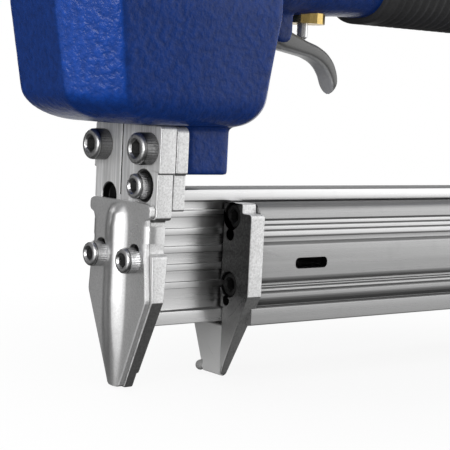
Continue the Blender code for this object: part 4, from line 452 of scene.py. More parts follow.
class Look:
    """A procedural material being put together on Object coordinates."""

    def __init__(self, name, slot, metallic=0.0, roughness=0.4):
        self.material = bpy.data.materials.new(name)
        self.material.use_nodes = True
        self.material["slot"] = slot
        self.tree = self.material.node_tree
        self.shader = self.tree.nodes["Principled BSDF"]
        self.shader.inputs["Metallic"].default_value = metallic
        self.shader.inputs["Roughness"].default_value = roughness
        self.coordinates = self.tree.nodes.new("ShaderNodeTexCoord")

    def link(self, value, socket):
        """Join an output to a socket, or set a plain value on it."""
        if isinstance(value, bpy.types.NodeSocket):
            self.tree.links.new(value, socket)
        else:
            socket.default_value = value

    def noise(self, scale, stretch=(1, 1, 1), detail=3.0, rough=0.55):
        """Noise of scale cells per metre, its coordinates multiplied by stretch first."""
        place = self.tree.nodes.new("ShaderNodeMapping")
        place.inputs["Scale"].default_value = stretch
        self.link(self.coordinates.outputs["Object"], place.inputs["Vector"])
        node = self.tree.nodes.new("ShaderNodeTexNoise")
        self.link(place.outputs["Vector"], node.inputs["Vector"])
        node.inputs["Scale"].default_value = scale
        node.inputs["Detail"].default_value = detail
        node.inputs["Roughness"].default_value = rough
        return node.outputs["Fac"]

    def axis(self, kind, letter):
        """One coordinate of the point (Object) or of its facing (Normal)."""
        node = self.tree.nodes.new("ShaderNodeSeparateXYZ")
        self.link(self.coordinates.outputs[kind], node.inputs["Vector"])
        return node.outputs[letter]

    def attribute(self, name):
        """A number that the mesh keeps at each point."""
        node = self.tree.nodes.new("ShaderNodeAttribute")
        node.attribute_name = name
        return node.outputs["Fac"]

    def scaled(self, value, low, high, to_low=0.0, to_high=1.0):
        """Value mapped from low..high to to_low..to_high, and held at the ends."""
        node = self.tree.nodes.new("ShaderNodeMapRange")
        for name, number in (("From Min", low), ("From Max", high), ("To Min", to_low), ("To Max", to_high)):
            node.inputs[name].default_value = number
        self.link(value, node.inputs["Value"])
        return node.outputs["Result"]

    def ramp(self, value, edges, falling=False):
        """From 0 to 1 between two edges in mm, or from 1 to 0 when falling."""
        low, high = edges
        return self.scaled(value, low * MM, high * MM, *((1.0, 0.0) if falling else (0.0, 1.0)))

    def slab(self, value, rise, fall):
        """1 between two pairs of edges in mm: it climbs over the first pair and drops over the second."""
        return self.times(self.ramp(value, rise), self.ramp(value, fall, True))

    def math(self, operation, first, second=0.0):
        """Two values joined by one of Blender's math operations."""
        node = self.tree.nodes.new("ShaderNodeMath")
        node.operation = operation
        self.link(first, node.inputs[0])
        self.link(second, node.inputs[1])
        return node.outputs["Value"]

    def times(self, first, second):
        """The product of two values."""
        return self.math("MULTIPLY", first, second)

    def most(self, first, second):
        """The larger of two values."""
        return self.math("MAXIMUM", first, second)

    def unsigned(self, value):
        """A value without its sign."""
        return self.math("ABSOLUTE", value)

    def distance(self, value, place):
        """How far a coordinate lies from a place in mm, either way."""
        return self.unsigned(self.math("SUBTRACT", value, place * MM))

    def between(self, share, first, second):
        """Colour mixed from first to second by share."""
        node = self.tree.nodes.new("ShaderNodeMix")
        node.data_type = "RGBA"
        self.link(share, node.inputs[0])
        for value, socket in ((first, node.inputs[6]), (second, node.inputs[7])):
            self.link(value if isinstance(value, bpy.types.NodeSocket) else (*value, 1.0), socket)
        return node.outputs[2]

    def tones(self, share, colour, dark, light, low=0.3, high=0.7):
        """Colour from dark to light shares of itself as share goes from low to high."""
        return self.between(self.scaled(share, low, high), [dark * c for c in colour],
                            [min(1.0, light * c) for c in colour])

    def finish(self, colour, roughness=None, bumps=()):
        """Wire up the shader: colour, roughness and a chain of bumps (height, strength, distance in mm)."""
        self.link(colour, self.shader.inputs["Base Color"])
        if roughness is not None:
            self.link(roughness, self.shader.inputs["Roughness"])
        normal = None
        for height, strength, distance in bumps:
            node = self.tree.nodes.new("ShaderNodeBump")
            node.inputs["Strength"].default_value = strength
            node.inputs["Distance"].default_value = distance * MM
            self.link(height, node.inputs["Height"])
            if normal is not None:
                self.link(normal, node.inputs["Normal"])
            normal = node.outputs["Normal"]
        if normal is not None:
            self.link(normal, self.shader.inputs["Normal"])
        return self.material


LOOKS = {}


def share_of(share, colour):
    """A colour with each channel times a share."""
    return [share * channel for channel in colour]


def paint_look(colours):
    """Wrinkled paint: small pebbles, finer specks and broad thin places, heaped on chamfers that a painted
    highlight makes brighter than the flats.
    """
    blue = colours.blue_paint
    look = Look("blue_paint", "blue_paint", roughness=0.32)
    look.shader.inputs["Specular IOR Level"].default_value = 0.27
    pebbles = look.noise(480, detail=2.0, rough=0.5)
    blotches = look.noise(60, detail=3)
    specks = look.noise(1700, detail=2)
    ahead, aside = [look.unsigned(look.axis("Normal", letter)) for letter in "XY"]
    slanted = look.scaled(look.times(ahead, aside), 0.25, 0.45)
    # Painted highlight: the chamfers take lighter tones of the blue than the flats.
    base = look.between(slanted, look.tones(pebbles, blue, 0.6, 0.9, 0.32, 0.7),
                        look.tones(pebbles, blue, 1.1, 1.6, 0.32, 0.7))
    thin = look.scaled(blotches, 0.45, 0.7, 0, 0.25)
    base = look.between(thin, base, share_of(0.6, blue))
    matt = look.scaled(specks, 0.3, 0.7, 0.26, 0.36)
    rough = look.math("SUBTRACT", matt, look.times(slanted, 0.06))
    heaped = look.times(pebbles, look.math("ADD", look.times(slanted, 0.8), 1.0))
    return look.finish(base, rough, ((heaped, 0.6, 0.42), (specks, 0.1, 0.05)))


def plate_painted_shade(look, shade_share):
    """Where a plate is painted black as shade: in its spare hole and, where there is a share, on the sunk faces
    that look forward, in the split seam and behind the nose cover's slots."""
    front = GUIDE_X[0]
    depth, sideways, height = [look.axis("Object", letter) for letter in "XYZ"]
    from_hole = look.most(look.distance(sideways, SPARE_HOLE[0]), look.distance(height, SPARE_HOLE[1]))
    within = look.ramp(from_hole, (SPARE_HOLE_R, SPARE_HOLE_R + 0.2), True)
    sunk = look.ramp(depth, (front + 0.3, front + 0.6))
    facing_front = look.scaled(look.axis("Normal", "X"), -0.9, -0.7, 1, 0)
    # Painted shade: black in the spare hole and on the sunk faces that look forward.
    pits = look.times(sunk, look.most(within, look.times(facing_front, shade_share)))
    if not shade_share:
        return pits
    # Painted shade: black in the split seam and on the faces behind the nose cover.
    middle, half = sum(SPLIT_Y) / 2, (SPLIT_Y[1] - SPLIT_Y[0]) / 2
    seam = look.ramp(look.distance(sideways, middle), (half + 0.1, half + 0.25), True)
    seam_floor = front + SPLIT_DEPTH
    seam = look.times(seam, look.slab(depth, (front + 0.04, front + 0.12),
                                      (seam_floor + 0.05, seam_floor + 0.1)))
    low, high = SHADED_Z
    covered = look.slab(height, (low - 1, low), (high, high + 1))
    covered = look.times(covered, look.ramp(look.unsigned(sideways), (SHADED_Y, SHADED_Y + 0.5), True))
    return look.most(pits, look.most(seam, look.times(covered, facing_front)))


def plate_look(name, slot, face, side, streak_axis="Z", shade_share=0.0):
    """Brushed on the faces that look along X, bright and speckled on the sides, with painted shade: dark on the
    tapered lower sides and black in the pits."""
    look = Look(name, slot, metallic=0.55, roughness=0.45)
    stretch = (1, 1, 0.025) if streak_axis == "Z" else (1, 0.025, 1)
    streaks = look.noise(1900, stretch, detail=4, rough=0.65)
    broad = look.noise(420, stretch, detail=2)
    clouds = look.noise(75, detail=3)
    specks = look.noise(1500, detail=3, rough=0.7)
    grain = look.math("ADD", look.times(streaks, 0.6), look.times(broad, 0.4))
    brushed = look.tones(grain, face, 0.62, 1.9, 0.38, 0.62)
    brushed = look.between(look.scaled(clouds, 0.5, 0.75, 0, 0.25), brushed, share_of(0.6, face))
    sides = look.tones(specks, side, 0.78, 1.2, 0.36, 0.64)
    tapered = look.tones(specks, side, 0.14, 0.22, 0.35, 0.65)
    facing_side = look.scaled(look.unsigned(look.axis("Normal", "Y")), 0.5, 0.8)
    # Painted shade: faces that look down take a dark copy of the side's colour.
    facing_down = look.scaled(look.axis("Normal", "Z"), -0.3, -0.2, 1, 0)
    colour = look.between(facing_side, brushed, sides)
    colour = look.between(facing_down, colour, tapered)
    # Painted shade: black in the pits, the seam and behind the nose cover.
    colour = look.between(plate_painted_shade(look, shade_share), colour, PIT_SHADE)
    matt = look.scaled(streaks, 0.3, 0.7, 0.5, 0.64)
    rough = look.math("SUBTRACT", matt, look.times(facing_side, 0.2))
    return look.finish(colour, rough, ((streaks, 0.06, 0.05), (specks, 0.12, 0.1)))


def claw_look(colours):
    """The claw: speckled bright sides and a matte grey nub, with painted shade: dark tapered edges, black inner
    walls and a front painted black, which below the bridge fades into steel that grows lighter towards the tip."""
    steel = colours.cast_steel
    look = Look("claw_steel", "cast_steel", metallic=0.65, roughness=0.42)
    specks = look.noise(1500, detail=3, rough=0.7)
    clouds = look.noise(160, detail=4)
    sides = look.tones(specks, steel, 0.76, 1.08, 0.36, 0.64)
    tapered = look.tones(specks, steel, 0.24, 0.36, 0.35, 0.65)
    # Painted shade: the claw's front is painted black.
    black = look.tones(specks, steel, 0.02, 0.09, 0.35, 0.75)
    sideways, height = [look.axis("Object", letter) for letter in "YZ"]
    # Below the bridge the painted shade fades into steel that grows lighter towards the tip.
    lower_front = look.between(look.ramp(height, (0.0, CLAW_BRIDGE_Z), True), share_of(0.75, steel),
                        share_of(1.05, steel))
    below = look.ramp(height, (CLAW_BRIDGE_Z - 0.6, CLAW_BRIDGE_Z + 0.6), True)
    past_land = look.ramp(sideways, (FOOT_ROOM_Y[0] - 0.2, FOOT_ROOM_Y[0] + 0.2))
    shade_edge = look.math("ADD", height, look.times(clouds, CLAW_SHADE_WANDER * MM))
    shade_fade = look.times(look.ramp(shade_edge, CLAW_SHADE_FADE_Z, True), 0.75)
    front = look.between(look.most(look.times(below, past_land), shade_fade), black, lower_front)
    facing_front = look.scaled(look.axis("Normal", "X"), -0.7, -0.5, 1, 0)
    # Painted shade: faces that look down take the dark tapered copy of the steel.
    facing_down = look.scaled(look.axis("Normal", "Z"), -0.3, -0.2, 1, 0)
    walls = look.between(facing_down, sides, tapered)
    # Painted shade: the walls inside the claw are painted black.
    inside = look.times(look.ramp(look.unsigned(sideways), CLAW_INSIDE_Y, True),
                        look.slab(height, CLAW_INSIDE_Z, (CLAW_TOP - 0.6, CLAW_TOP - 0.2)))
    walls = look.between(inside, walls, CLAW_INSIDE_SHADE)
    colour = look.between(facing_front, walls, front)
    nub = look.times(look.ramp(sideways, NUB_EDGES_Y), look.ramp(height, NUB_EDGES_Z, True))
    colour = look.between(nub, colour, share_of(0.5, steel))
    rough = look.math("ADD", look.scaled(clouds, 0.3, 0.7, 0.36, 0.5), look.times(nub, 0.35))
    return look.finish(colour, rough, ((specks, 0.12, 0.1),))


def satin_look(colours):
    """Satin sheet: soft clouds, brighter upright scuffs and a fine dark grain."""
    steel = colours.satin_steel
    look = Look("satin_steel", "satin_steel", metallic=0.84, roughness=0.36)
    grain = look.noise(1500, detail=3, rough=0.75)
    clouds = look.noise(55, (1, 1, 0.5), detail=4)
    scuffs = look.noise(900, (1, 1, 0.06), detail=5, rough=0.7)
    base = look.tones(clouds, steel, 0.92, 1.08)
    base = look.between(look.scaled(scuffs, 0.6, 0.74, 0, 0.4), base, share_of(1.4, steel))
    base = look.between(look.scaled(grain, 0.35, 0.65, 0, 0.4), base, share_of(0.6, steel))
    rough = look.scaled(clouds, 0.3, 0.7, 0.26, 0.36)
    return look.finish(base, rough, ((grain, 0.16, 0.06), (scuffs, 0.05, 0.04)))


def trigger_look(colours):
    """Die-cast hook with painted light: a shaded copy of its colour on the flat sides and a lit copy, a painted
    highlight, on the face that the finger pulls.
    """
    look = Look("trigger_cast", "die_cast", metallic=0.4, roughness=0.38)
    specks = look.noise(1300, detail=3, rough=0.65)
    # Painted light: plain, lit and shaded copies of the die casting's colour, chosen by facing.
    plain, lit_face, shaded = [look.tones(specks, colours.die_cast, 0.94 * tone, 1.06 * tone)
                           for tone in (1.0, 1.7, 0.45)]
    ahead, aside, up = [look.axis("Normal", letter) for letter in "XYZ"]
    facing_finger = look.scaled(look.math("ADD", ahead, up), -0.6, -0.2, 1, 0)
    facing_side = look.scaled(look.unsigned(aside), 0.7, 0.92)
    colour = look.between(facing_side, look.between(facing_finger, plain, lit_face), shaded)
    return look.finish(colour, look.scaled(specks, 0.3, 0.7, 0.32, 0.44), ((specks, 0.04, 0.12),))


def drawn_look(name, colour, metallic, shaded, bands=(), slot=()):
    """Aluminium drawn through a die: fine lines along X, darker as painted shade and rougher on the faces that
    look up, painted highlights and painted shade on the bands (low and high edge, tone and its share), and
    black painted shade on the walls of a slot."""
    look = Look(name, "aluminium", metallic=metallic, roughness=0.3)
    lines = look.noise(2400, (0.006, 1, 1), detail=4, rough=0.7)
    broad = look.noise(330, (0.01, 1, 1), detail=2)
    marks = look.noise(140, detail=4, rough=0.6)
    grain = look.math("ADD", look.times(lines, 0.5), look.times(broad, 0.5))
    base = look.tones(grain, colour, 0.92, 1.09, 0.36, 0.64)
    base = look.between(look.scaled(marks, 0.55, 0.8, 0, 0.2), base, share_of(0.7, colour))
    height = look.axis("Object", "Z")
    # Painted light: each band lays a painted highlight or painted shade on the wall.
    for low, high, tone, share in bands:
        soft = min(0.3, (high - low) / 3)
        inside = look.times(look.slab(height, (low, low + soft), (high - soft, high)), share)
        base = look.between(inside, base, (tone, tone, tone))
    # Painted shade: faces that look up take a darker share of the colour.
    upward = look.axis("Normal", "Z")
    base = look.between(look.scaled(upward, 0.6, 0.9, 0, 0.8), base, share_of(shaded, colour))
    # Painted shade: the walls of the sight slot are painted black.
    if slot:
        wall = look.scaled(look.unsigned(look.axis("Normal", "Y")), 0.5, 0.7, 1, 0)
        for letter, (low, high) in zip("XZ", slot):
            middle, half = (low + high) / 2, (high - low) / 2
            away = look.distance(look.axis("Object", letter), middle)
            wall = look.times(wall, look.ramp(away, (half + 0.1, half + 0.2), True))
        base = look.between(wall, base, SLOT_SHADE)
    rough = look.most(look.scaled(lines, 0.3, 0.7, 0.24, 0.38), look.scaled(upward, 0.6, 0.9, 0, 0.7))
    return look.finish(base, rough, ((lines, 0.08, 0.04), (marks, 0.04, 0.1)))


def speckled_look(name, slot, colour, finish, toned=False):
    """Cast, plated or moulded surface: specks over broad clouds, mixed towards black by the mesh's tone, a
    painted shade, if it has one. The finish is metallic, roughness, specks per metre, their dark and light
    shares, and the bump's strength."""
    metallic, roughness, scale, dark, light, bump = finish
    look = Look(name, slot, metallic=metallic, roughness=roughness)
    specks = look.noise(scale, detail=3, rough=0.65)
    broad = look.noise(scale / 14, detail=3)
    base = look.tones(specks, colour, dark, light)
    base = look.between(look.scaled(broad, 0.45, 0.75, 0, 0.25), base, share_of(0.6, colour))
    # Painted shade: the tone mixes the colour towards black.
    if toned:
        base = look.between(look.attribute("tone"), SOCKET_SHADE, base)
    rough = look.scaled(broad, 0.3, 0.7, 0.85 * roughness, 1.2 * roughness)
    return look.finish(base, rough, ((specks, bump, 0.12),))


def make_looks(context):
    """Every material, kept in LOOKS by name. The looks of the screws' heads read the mesh's tone as painted
    shade.
    """
    colours = context.scene.nailer_colours
    steel = colours.cast_steel
    LOOKS.clear()
    LOOKS["blue_paint"] = paint_look(colours)
    LOOKS["brushed_steel"] = plate_look("brushed_steel", "brushed_steel", colours.brushed_steel, steel,
                                        shade_share=1.0)
    LOOKS["cast_steel"] = plate_look("cast_steel", "cast_steel", share_of(0.75, steel), steel, "Y")
    LOOKS["satin_steel"] = satin_look(colours)
    LOOKS["claw_steel"] = claw_look(colours)
    LOOKS["trigger_cast"] = trigger_look(colours)
    LOOKS["aluminium"] = drawn_look("aluminium", colours.aluminium, 1.0, 0.3)
    LOOKS["slide_aluminium"] = drawn_look("slide_aluminium", colours.slide_aluminium, 0.75, 0.7, SLIDE_LIGHT_BANDS,
                                          (SIGHT_SLOT_X, SIGHT_SLOT_Z))
    for name, finish in PLAIN_FINISHES.items():
        colour = getattr(colours, name)
        LOOKS[name] = speckled_look(name, name, colour, finish)
        if name in ("dark_screw", "zinc_screw"):
            LOOKS[name + "_head"] = speckled_look(name + "_head", name, colour, finish, True)
    # Painted shade: the screws sunk in the claw are painted near black.
    LOOKS["sunk_screw_head"] = speckled_look("sunk_screw_head", "dark_screw",
                                             share_of(0.06, colours.dark_screw), SUNK_FINISH, True)


# Pieces

def body_outline(z, insets, edge):
    """The body's octagon at height z: each end and side grows with the draft times the rise and is drawn in
    by its inset. Its upright edges are rounded, and its sides and chamfers bow out by a crown."""
    rise = min(z, BODY_DRAFT_TOP) - BODY_REF_Z
    front, rear, half = [end + draft * rise - inset
                         for end, draft, inset in zip((*BODY_ENDS, BODY_HALF_WIDTH), BODY_DRAFTS, insets)]
    facet = BODY_FACET_HALF - insets[2] / 3
    front_chamfer, rear_chamfer = [BODY_CHAMFER_X - inset / 3 for inset in insets[:2]]
    side_crown, chamfer_crown = BODY_CROWNS
    bow_x, bow_y = 0.8 * chamfer_crown, 0.6 * chamfer_crown
    bow = (facet + half) / 2 + bow_y
    right = [(rear, facet, edge), (rear - rear_chamfer / 2 + bow_x, bow, CHAMFER_BOW_R),
             (rear - rear_chamfer, half, edge), (0, half + side_crown, SIDE_BOW_R),
             (-front + front_chamfer, half, edge), (-front + front_chamfer / 2 - bow_x, bow, CHAMFER_BOW_R),
             (-front, facet, edge)]
    outline = rounded(right + [(x, -y, radius) for x, y, radius in reversed(right)], 6)
    return outline + (DRIVE_X, 0)


def body_rings(levels, edge):
    """Rings of the body's outline, one for each (height, insets)."""
    return np.stack([np.column_stack([outline, np.full(len(outline), z)])
                     for z, outline in ((z, body_outline(z, insets, edge)) for z, insets in levels)])


def oval_rings(x, half_z, half_y, columns=72):
    """Superellipses across X: half size times cosine or sine, its size raised to 2 / HANDLE_POWER."""
    angle = np.linspace(0, 2 * math.pi, columns, endpoint=False)
    share = 2 / HANDLE_POWER
    side = np.sign(np.cos(angle)) * np.abs(np.cos(angle)) ** share
    rise = np.sign(np.sin(angle)) * np.abs(np.sin(angle)) ** share
    x, half_z, half_y = [np.asarray(v, float).reshape(len(x), -1) for v in (x, half_z, half_y)]
    return np.stack([np.broadcast_to(x, (len(x), columns)), half_y * side, HANDLE_Z + half_z * rise], axis=-1)


def handle_rings():
    """Handle sections eased between the stations by a cosine."""
    stations = np.array(HANDLE_SECTIONS)
    x = np.linspace(stations[0, 0], stations[-1, 0], 90)
    lower = np.clip(np.searchsorted(stations[:, 0], x, side="right") - 1, 0, len(stations) - 2)
    share = (x - stations[lower, 0]) / (stations[lower + 1, 0] - stations[lower, 0])
    share = (1 - np.cos(math.pi * share)) / 2
    halves = stations[lower, 1:] + share[:, None] * (stations[lower + 1, 1:] - stations[lower, 1:])
    return oval_rings(x, halves[:, 0], halves[:, 1])


def make_housing(sizes):
    """Body, handle, boss, pad and trigger lugs, cast as one skin. Over a quarter turn from the bottom the
    outline is drawn in by the fillet times one less the sine, and rises as one less the cosine."""
    edge, fillet = sizes.body_edge / MM, sizes.body_fillet / MM
    turn = np.linspace(0, math.pi / 2, 12)
    levels = list(zip(BODY_BOTTOM + BODY_FILLET_RISE * fillet * (1 - np.cos(turn)),
                      fillet * np.outer(1 - np.sin(turn), BODY_FILLET_SHARES)))
    levels += [(z, (0, 0, 0)) for z in BODY_LEVELS]
    boss = box_outline((BOSS_X[0], -BOSS_HALF), (BOSS_X[1], BOSS_HALF), BOSS_ROUND)
    pad = box_outline((BRACKET_X[0], -BRACKET_HALF), (PAD_END, BRACKET_HALF), PAD_ROUND)
    shells = [body_rings(levels, edge), handle_rings(), carried(boss, "Z", BOSS_Z), carried(pad, "Z", PAD_Z)]
    x, z = TRIGGER_PIVOT
    lug = rounded([(x - LUG_R, z - LUG_R, LUG_ROUND), (x + LUG_R, z - LUG_R, LUG_ROUND),
                   (x + LUG_R, z + LUG_RISE, 0), (x - LUG_R, z + LUG_RISE, 0)])
    for side in (NEAR, FAR):
        shells.append(carried(lug, "Y", sorted((side * LUG_GAP, side * (LUG_GAP + LUG_T)))))
    housing = skin("painted_housing", *shells)
    cast(housing, sizes.cast_detail, 1)
    settle(housing, LOOKS["blue_paint"], "tool", "housing")


def cap_screw_places():
    """Middles of the cap's four screws."""
    return [(DRIVE_X + i * CAP_SCREW_X, j * CAP_SCREW_Y) for i in (-1, 1) for j in (-1, 1)]


def make_cap(sizes):
    """The body's outline carried up, its top rounded over by a quarter circle, counterbored at each screw."""
    turn = np.linspace(0, math.pi / 2, 10)
    levels = [(CAP_BASE, 0.4), (CAP_BASE + 0.4, 0.0)]
    levels += list(zip(CAP_TOP - CAP_ROUND * (1 - np.sin(turn)), CAP_ROUND * (1 - np.cos(turn))))
    cap = skin("painted_cap", body_rings([(z, (inset,) * 3) for z, inset in levels], sizes.body_edge / MM))
    bore = SCREWS["M5"][0] + 0.6
    carve(cap, *[rod("counterbore", (x, y, CAP_SEAT), CAP_TOP + CUT_PAST, bore, "Z")
                 for x, y in cap_screw_places()])
    break_edges(cap, 0.5 * MM, 3, 40)
    settle(cap, LOOKS["blue_paint"], "tool", "cylinder_cap")


def make_gasket(sizes):
    """A thin slice of the body's outline with the cylinder's bore and the screw holes cut out."""
    heights = (BODY_TOP + GASKET_INSET, CAP_BASE - GASKET_INSET)
    gasket = skin("cut_gasket", body_rings([(z, (GASKET_INSET,) * 3) for z in heights], sizes.body_edge / MM))
    low, high = BODY_TOP - CUT_PAST, CAP_BASE + CUT_PAST
    hole = SCREWS["M5"][2] + 0.3
    carve(gasket, rod("bore", (DRIVE_X, 0, low), high, GASKET_BORE_R, "Z", 96),
          *[rod("screw_hole", (x, y, low), high, hole, "Z", 24) for x, y in cap_screw_places()])
    shade(gasket, 35)
    settle(gasket, LOOKS["rubber"], "tool", "cap_gasket")


def make_deflector():
    """A ribbed cup: rows of radius and height turned about the driver's axis, from the screw's bore out under
    the roof and up the outside. The gripped rows lose half a millimetre times a raised cosine, cubed."""
    low, high = DEFLECTOR_Z
    outer, inner, roof = DEFLECTOR_R, DEFLECTOR_R - DEFLECTOR_WALL, high - DEFLECTOR_WALL
    bore, hub = DEFLECTOR_BORE_R, DEFLECTOR_HUB_R
    rows = np.array([(bore, low), (hub, low), (hub, roof), (inner, roof), (inner, low), (outer - 0.3, low),
                     (outer, low + 0.3), (outer, low + 1.2), (outer, low + 1.4), (outer, roof - 0.8),
                     (outer, roof - 0.6), (outer - 0.6, roof + 0.9), (outer - 2.4, high - 0.2),
                     (outer - 3.4, high), (8.0, high), (7.6, high - 0.5), (bore, high - 0.5)])
    angle = np.linspace(0, 2 * math.pi, DEFLECTOR_STEPS, endpoint=False)
    ribs = 0.5 * (0.5 + 0.5 * np.cos(DEFLECTOR_RIBS * angle)) ** 3
    gripped = (rows[:, 1] > low + 1.3) & (rows[:, 1] < roof - 0.7) & (rows[:, 0] == outer)
    radius = rows[:, :1] - gripped[:, None] * ribs[None]
    rings = round_rings(radius, rows[:, 1], (DRIVE_X, 0, 0), (0, 0, 1), DEFLECTOR_STEPS)
    deflector = skin("vented_deflector", rings)
    vent = box_outline((-DEFLECTOR_VENT_HALF, low + DEFLECTOR_WALL), (DEFLECTOR_VENT_HALF, roof - 0.3), 1.2)
    carve(deflector, extruded("vent", vent, "X", DRIVE_X - outer - CUT_PAST, DRIVE_X - inner / 2))
    shade(deflector, 35)
    settle(deflector, LOOKS["black_plastic"], "deflector", "exhaust_deflector")


def make_grip(sizes):
    """The handle's section grown by a sleeve: its ends rise over a quarter circle, and each rib takes a share
    of a raised cosine along X from the finger side."""
    low, high = GRIP_X
    x = np.linspace(low, high, 129)
    rise = np.clip(np.minimum(x - low, high - x) / GRIP_ROUND, 0, 1)
    rise = GRIP_EDGE_T + GRIP_SWELL * np.sqrt(1 - (1 - rise) ** 2)
    angle = np.linspace(0, 2 * math.pi, 96, endpoint=False)
    ribs = 0.5 - 0.5 * np.cos(2 * math.pi * (x - low) / GRIP_RIB_PITCH)
    inside = np.clip(np.minimum(x - low - GRIP_PLAIN, high - GRIP_PLAIN - x) / 2, 0, 1)
    finger_side = np.clip(0.6 - np.sin(angle), 0, 1)[None]
    grow = rise[:, None] - (sizes.grip_rib / MM) * (ribs * inside)[:, None] * finger_side
    grip = skin("ribbed_grip", oval_rings(x, WAIST[0] + grow, WAIST[1] + grow, 96))
    shade(grip, 40)
    settle(grip, LOOKS["rubber"], "tool", "grip_sleeve")


def make_end_cap():
    """The handle's end section carried back, its rear edge rounded over by a quarter circle."""
    front, back = END_CAP_X
    turn = np.linspace(0, math.pi / 2, 8)
    x = np.concatenate(([front, front + 0.3], back - END_CAP_ROUND * (1 - np.sin(turn))))
    inset = np.concatenate(([0.3, 0.0], END_CAP_ROUND * (1 - np.cos(turn))))
    cap = skin("painted_end_cap", oval_rings(x, BUTT[0] - inset, BUTT[1] - inset))
    shade(cap, 40)
    settle(cap, LOOKS["blue_paint"], "tool", "handle_end_cap")


def hexagon(angle, half_flats):
    """Radius of a hexagon: half its flats over the cosine of the turn from the nearest flat's middle."""
    return half_flats / np.cos((angle + math.pi / 6) % (math.pi / 3) - math.pi / 6)


def make_plug():
    """Hose plug: rows of radius along X, hexagonal over the nut and round elsewhere."""
    steps = 96
    angle = np.linspace(0, 2 * math.pi, steps, endpoint=False)
    nut = hexagon(angle, PLUG_HEX_R * math.cos(math.pi / 6))
    chamfer = np.minimum(nut, PLUG_HEX_R * 0.9)
    ball, neck, bore = PLUG_R, 0.72 * PLUG_R, PLUG_BORE_R
    start, nut_end, end = PLUG_X, PLUG_X + PLUG_HEX_L, PLUG_END
    rows = [(6.5, start - 8.0), (chamfer * 0.96, start), (chamfer, start + 0.4), (nut, start + 0.9),
            (nut, nut_end - 0.9), (chamfer, nut_end - 0.3), (chamfer * 0.96, nut_end), (6.6, nut_end),
            (ball, nut_end + 0.6), (ball, end - 14.6), (ball - 0.3, end - 14.2), (neck, end - 13.0),
            (neck - 0.1, end - 11.2), (neck, end - 9.5), (ball - 0.25, end - 8.2), (ball, end - 7.7),
            (ball, end - 2.2), (0.97 * ball, end - 1.3), (0.85 * ball, end - 0.1), (0.82 * ball, end),
            (bore + 0.6, end), (bore, end - 0.6), (bore, end - 16.0)]
    radius = np.stack([np.broadcast_to(r, steps) for r, _ in rows])
    height = np.array([h for _, h in rows])
    plug = skin("turned_plug", round_rings(radius, height, (0, 0, HANDLE_Z), (1, 0, 0), steps))
    shade(plug, 32)
    settle(plug, LOOKS["brass"], "tool", "air_plug")


def smooth_edge(line, rows):
    """Points evenly along a line of corners, each then a bell-weighted mean of its nine nearest."""
    line = np.array(line)
    run = np.concatenate(([0], np.cumsum(np.linalg.norm(np.diff(line, axis=0), axis=1))))
    share = np.linspace(0, 1, rows)
    fine = np.stack([np.interp(share, run / run[-1], line[:, i]) for i in (0, 1)], axis=1)
    kernel = np.hanning(9) / np.hanning(9).sum()
    padded = np.pad(fine, ((4, 4), (0, 0)), mode="reflect", reflect_type="odd")
    return np.stack([np.convolve(padded[:, i], kernel, "valid") for i in (0, 1)], axis=1)


def make_trigger(sizes):
    """A hook: at share s along its length the section is a superellipse between the lower and the upper edge,
    rounded off as a circle towards the end. A short drum about the pivot is its hub."""
    columns, rows = 40, 56
    under, upper = smooth_edge(TRIGGER_UNDER, rows), smooth_edge(TRIGGER_UPPER, rows)
    middle, reach = (under + upper) / 2, (upper - under) / 2
    angle = np.linspace(0, 2 * math.pi, columns, endpoint=False)
    across, up = [np.sign(wave) * np.abs(wave) ** power
                  for wave, power in zip((np.cos(angle), np.sin(angle)), TRIGGER_POWERS)]
    share = np.linspace(0, 1, rows)
    past = np.clip(share - TRIGGER_ROUND_START, 0, 1) / (1 - TRIGGER_ROUND_START)
    rounding = np.sqrt(np.clip(1 - past ** 2, 0.03, 1))
    half = sizes.trigger_half / MM
    reach = reach * rounding[:, None]
    x, z = TRIGGER_PIVOT
    hook = np.empty((rows, columns, 3))
    hook[:, :, 0] = x + middle[:, :1] + reach[:, :1] * up
    hook[:, :, 1] = (half * rounding)[:, None] * across
    hook[:, :, 2] = z + middle[:, 1:] + reach[:, 1:] * up
    inset = TRIGGER_HUB_EDGE
    span = np.array((-half, -half + inset, half - inset, half))
    radius = TRIGGER_HUB_R - inset * np.array([[1], [0], [0], [1]])
    hub = round_rings(radius, span, (x, 0, z), (0, 1, 0), 40)
    trigger = skin("hooked_trigger", hook, hub)
    tidy(trigger.data)
    shade(trigger, 60)
    settle(trigger, LOOKS["trigger_cast"], "trigger", "trigger")


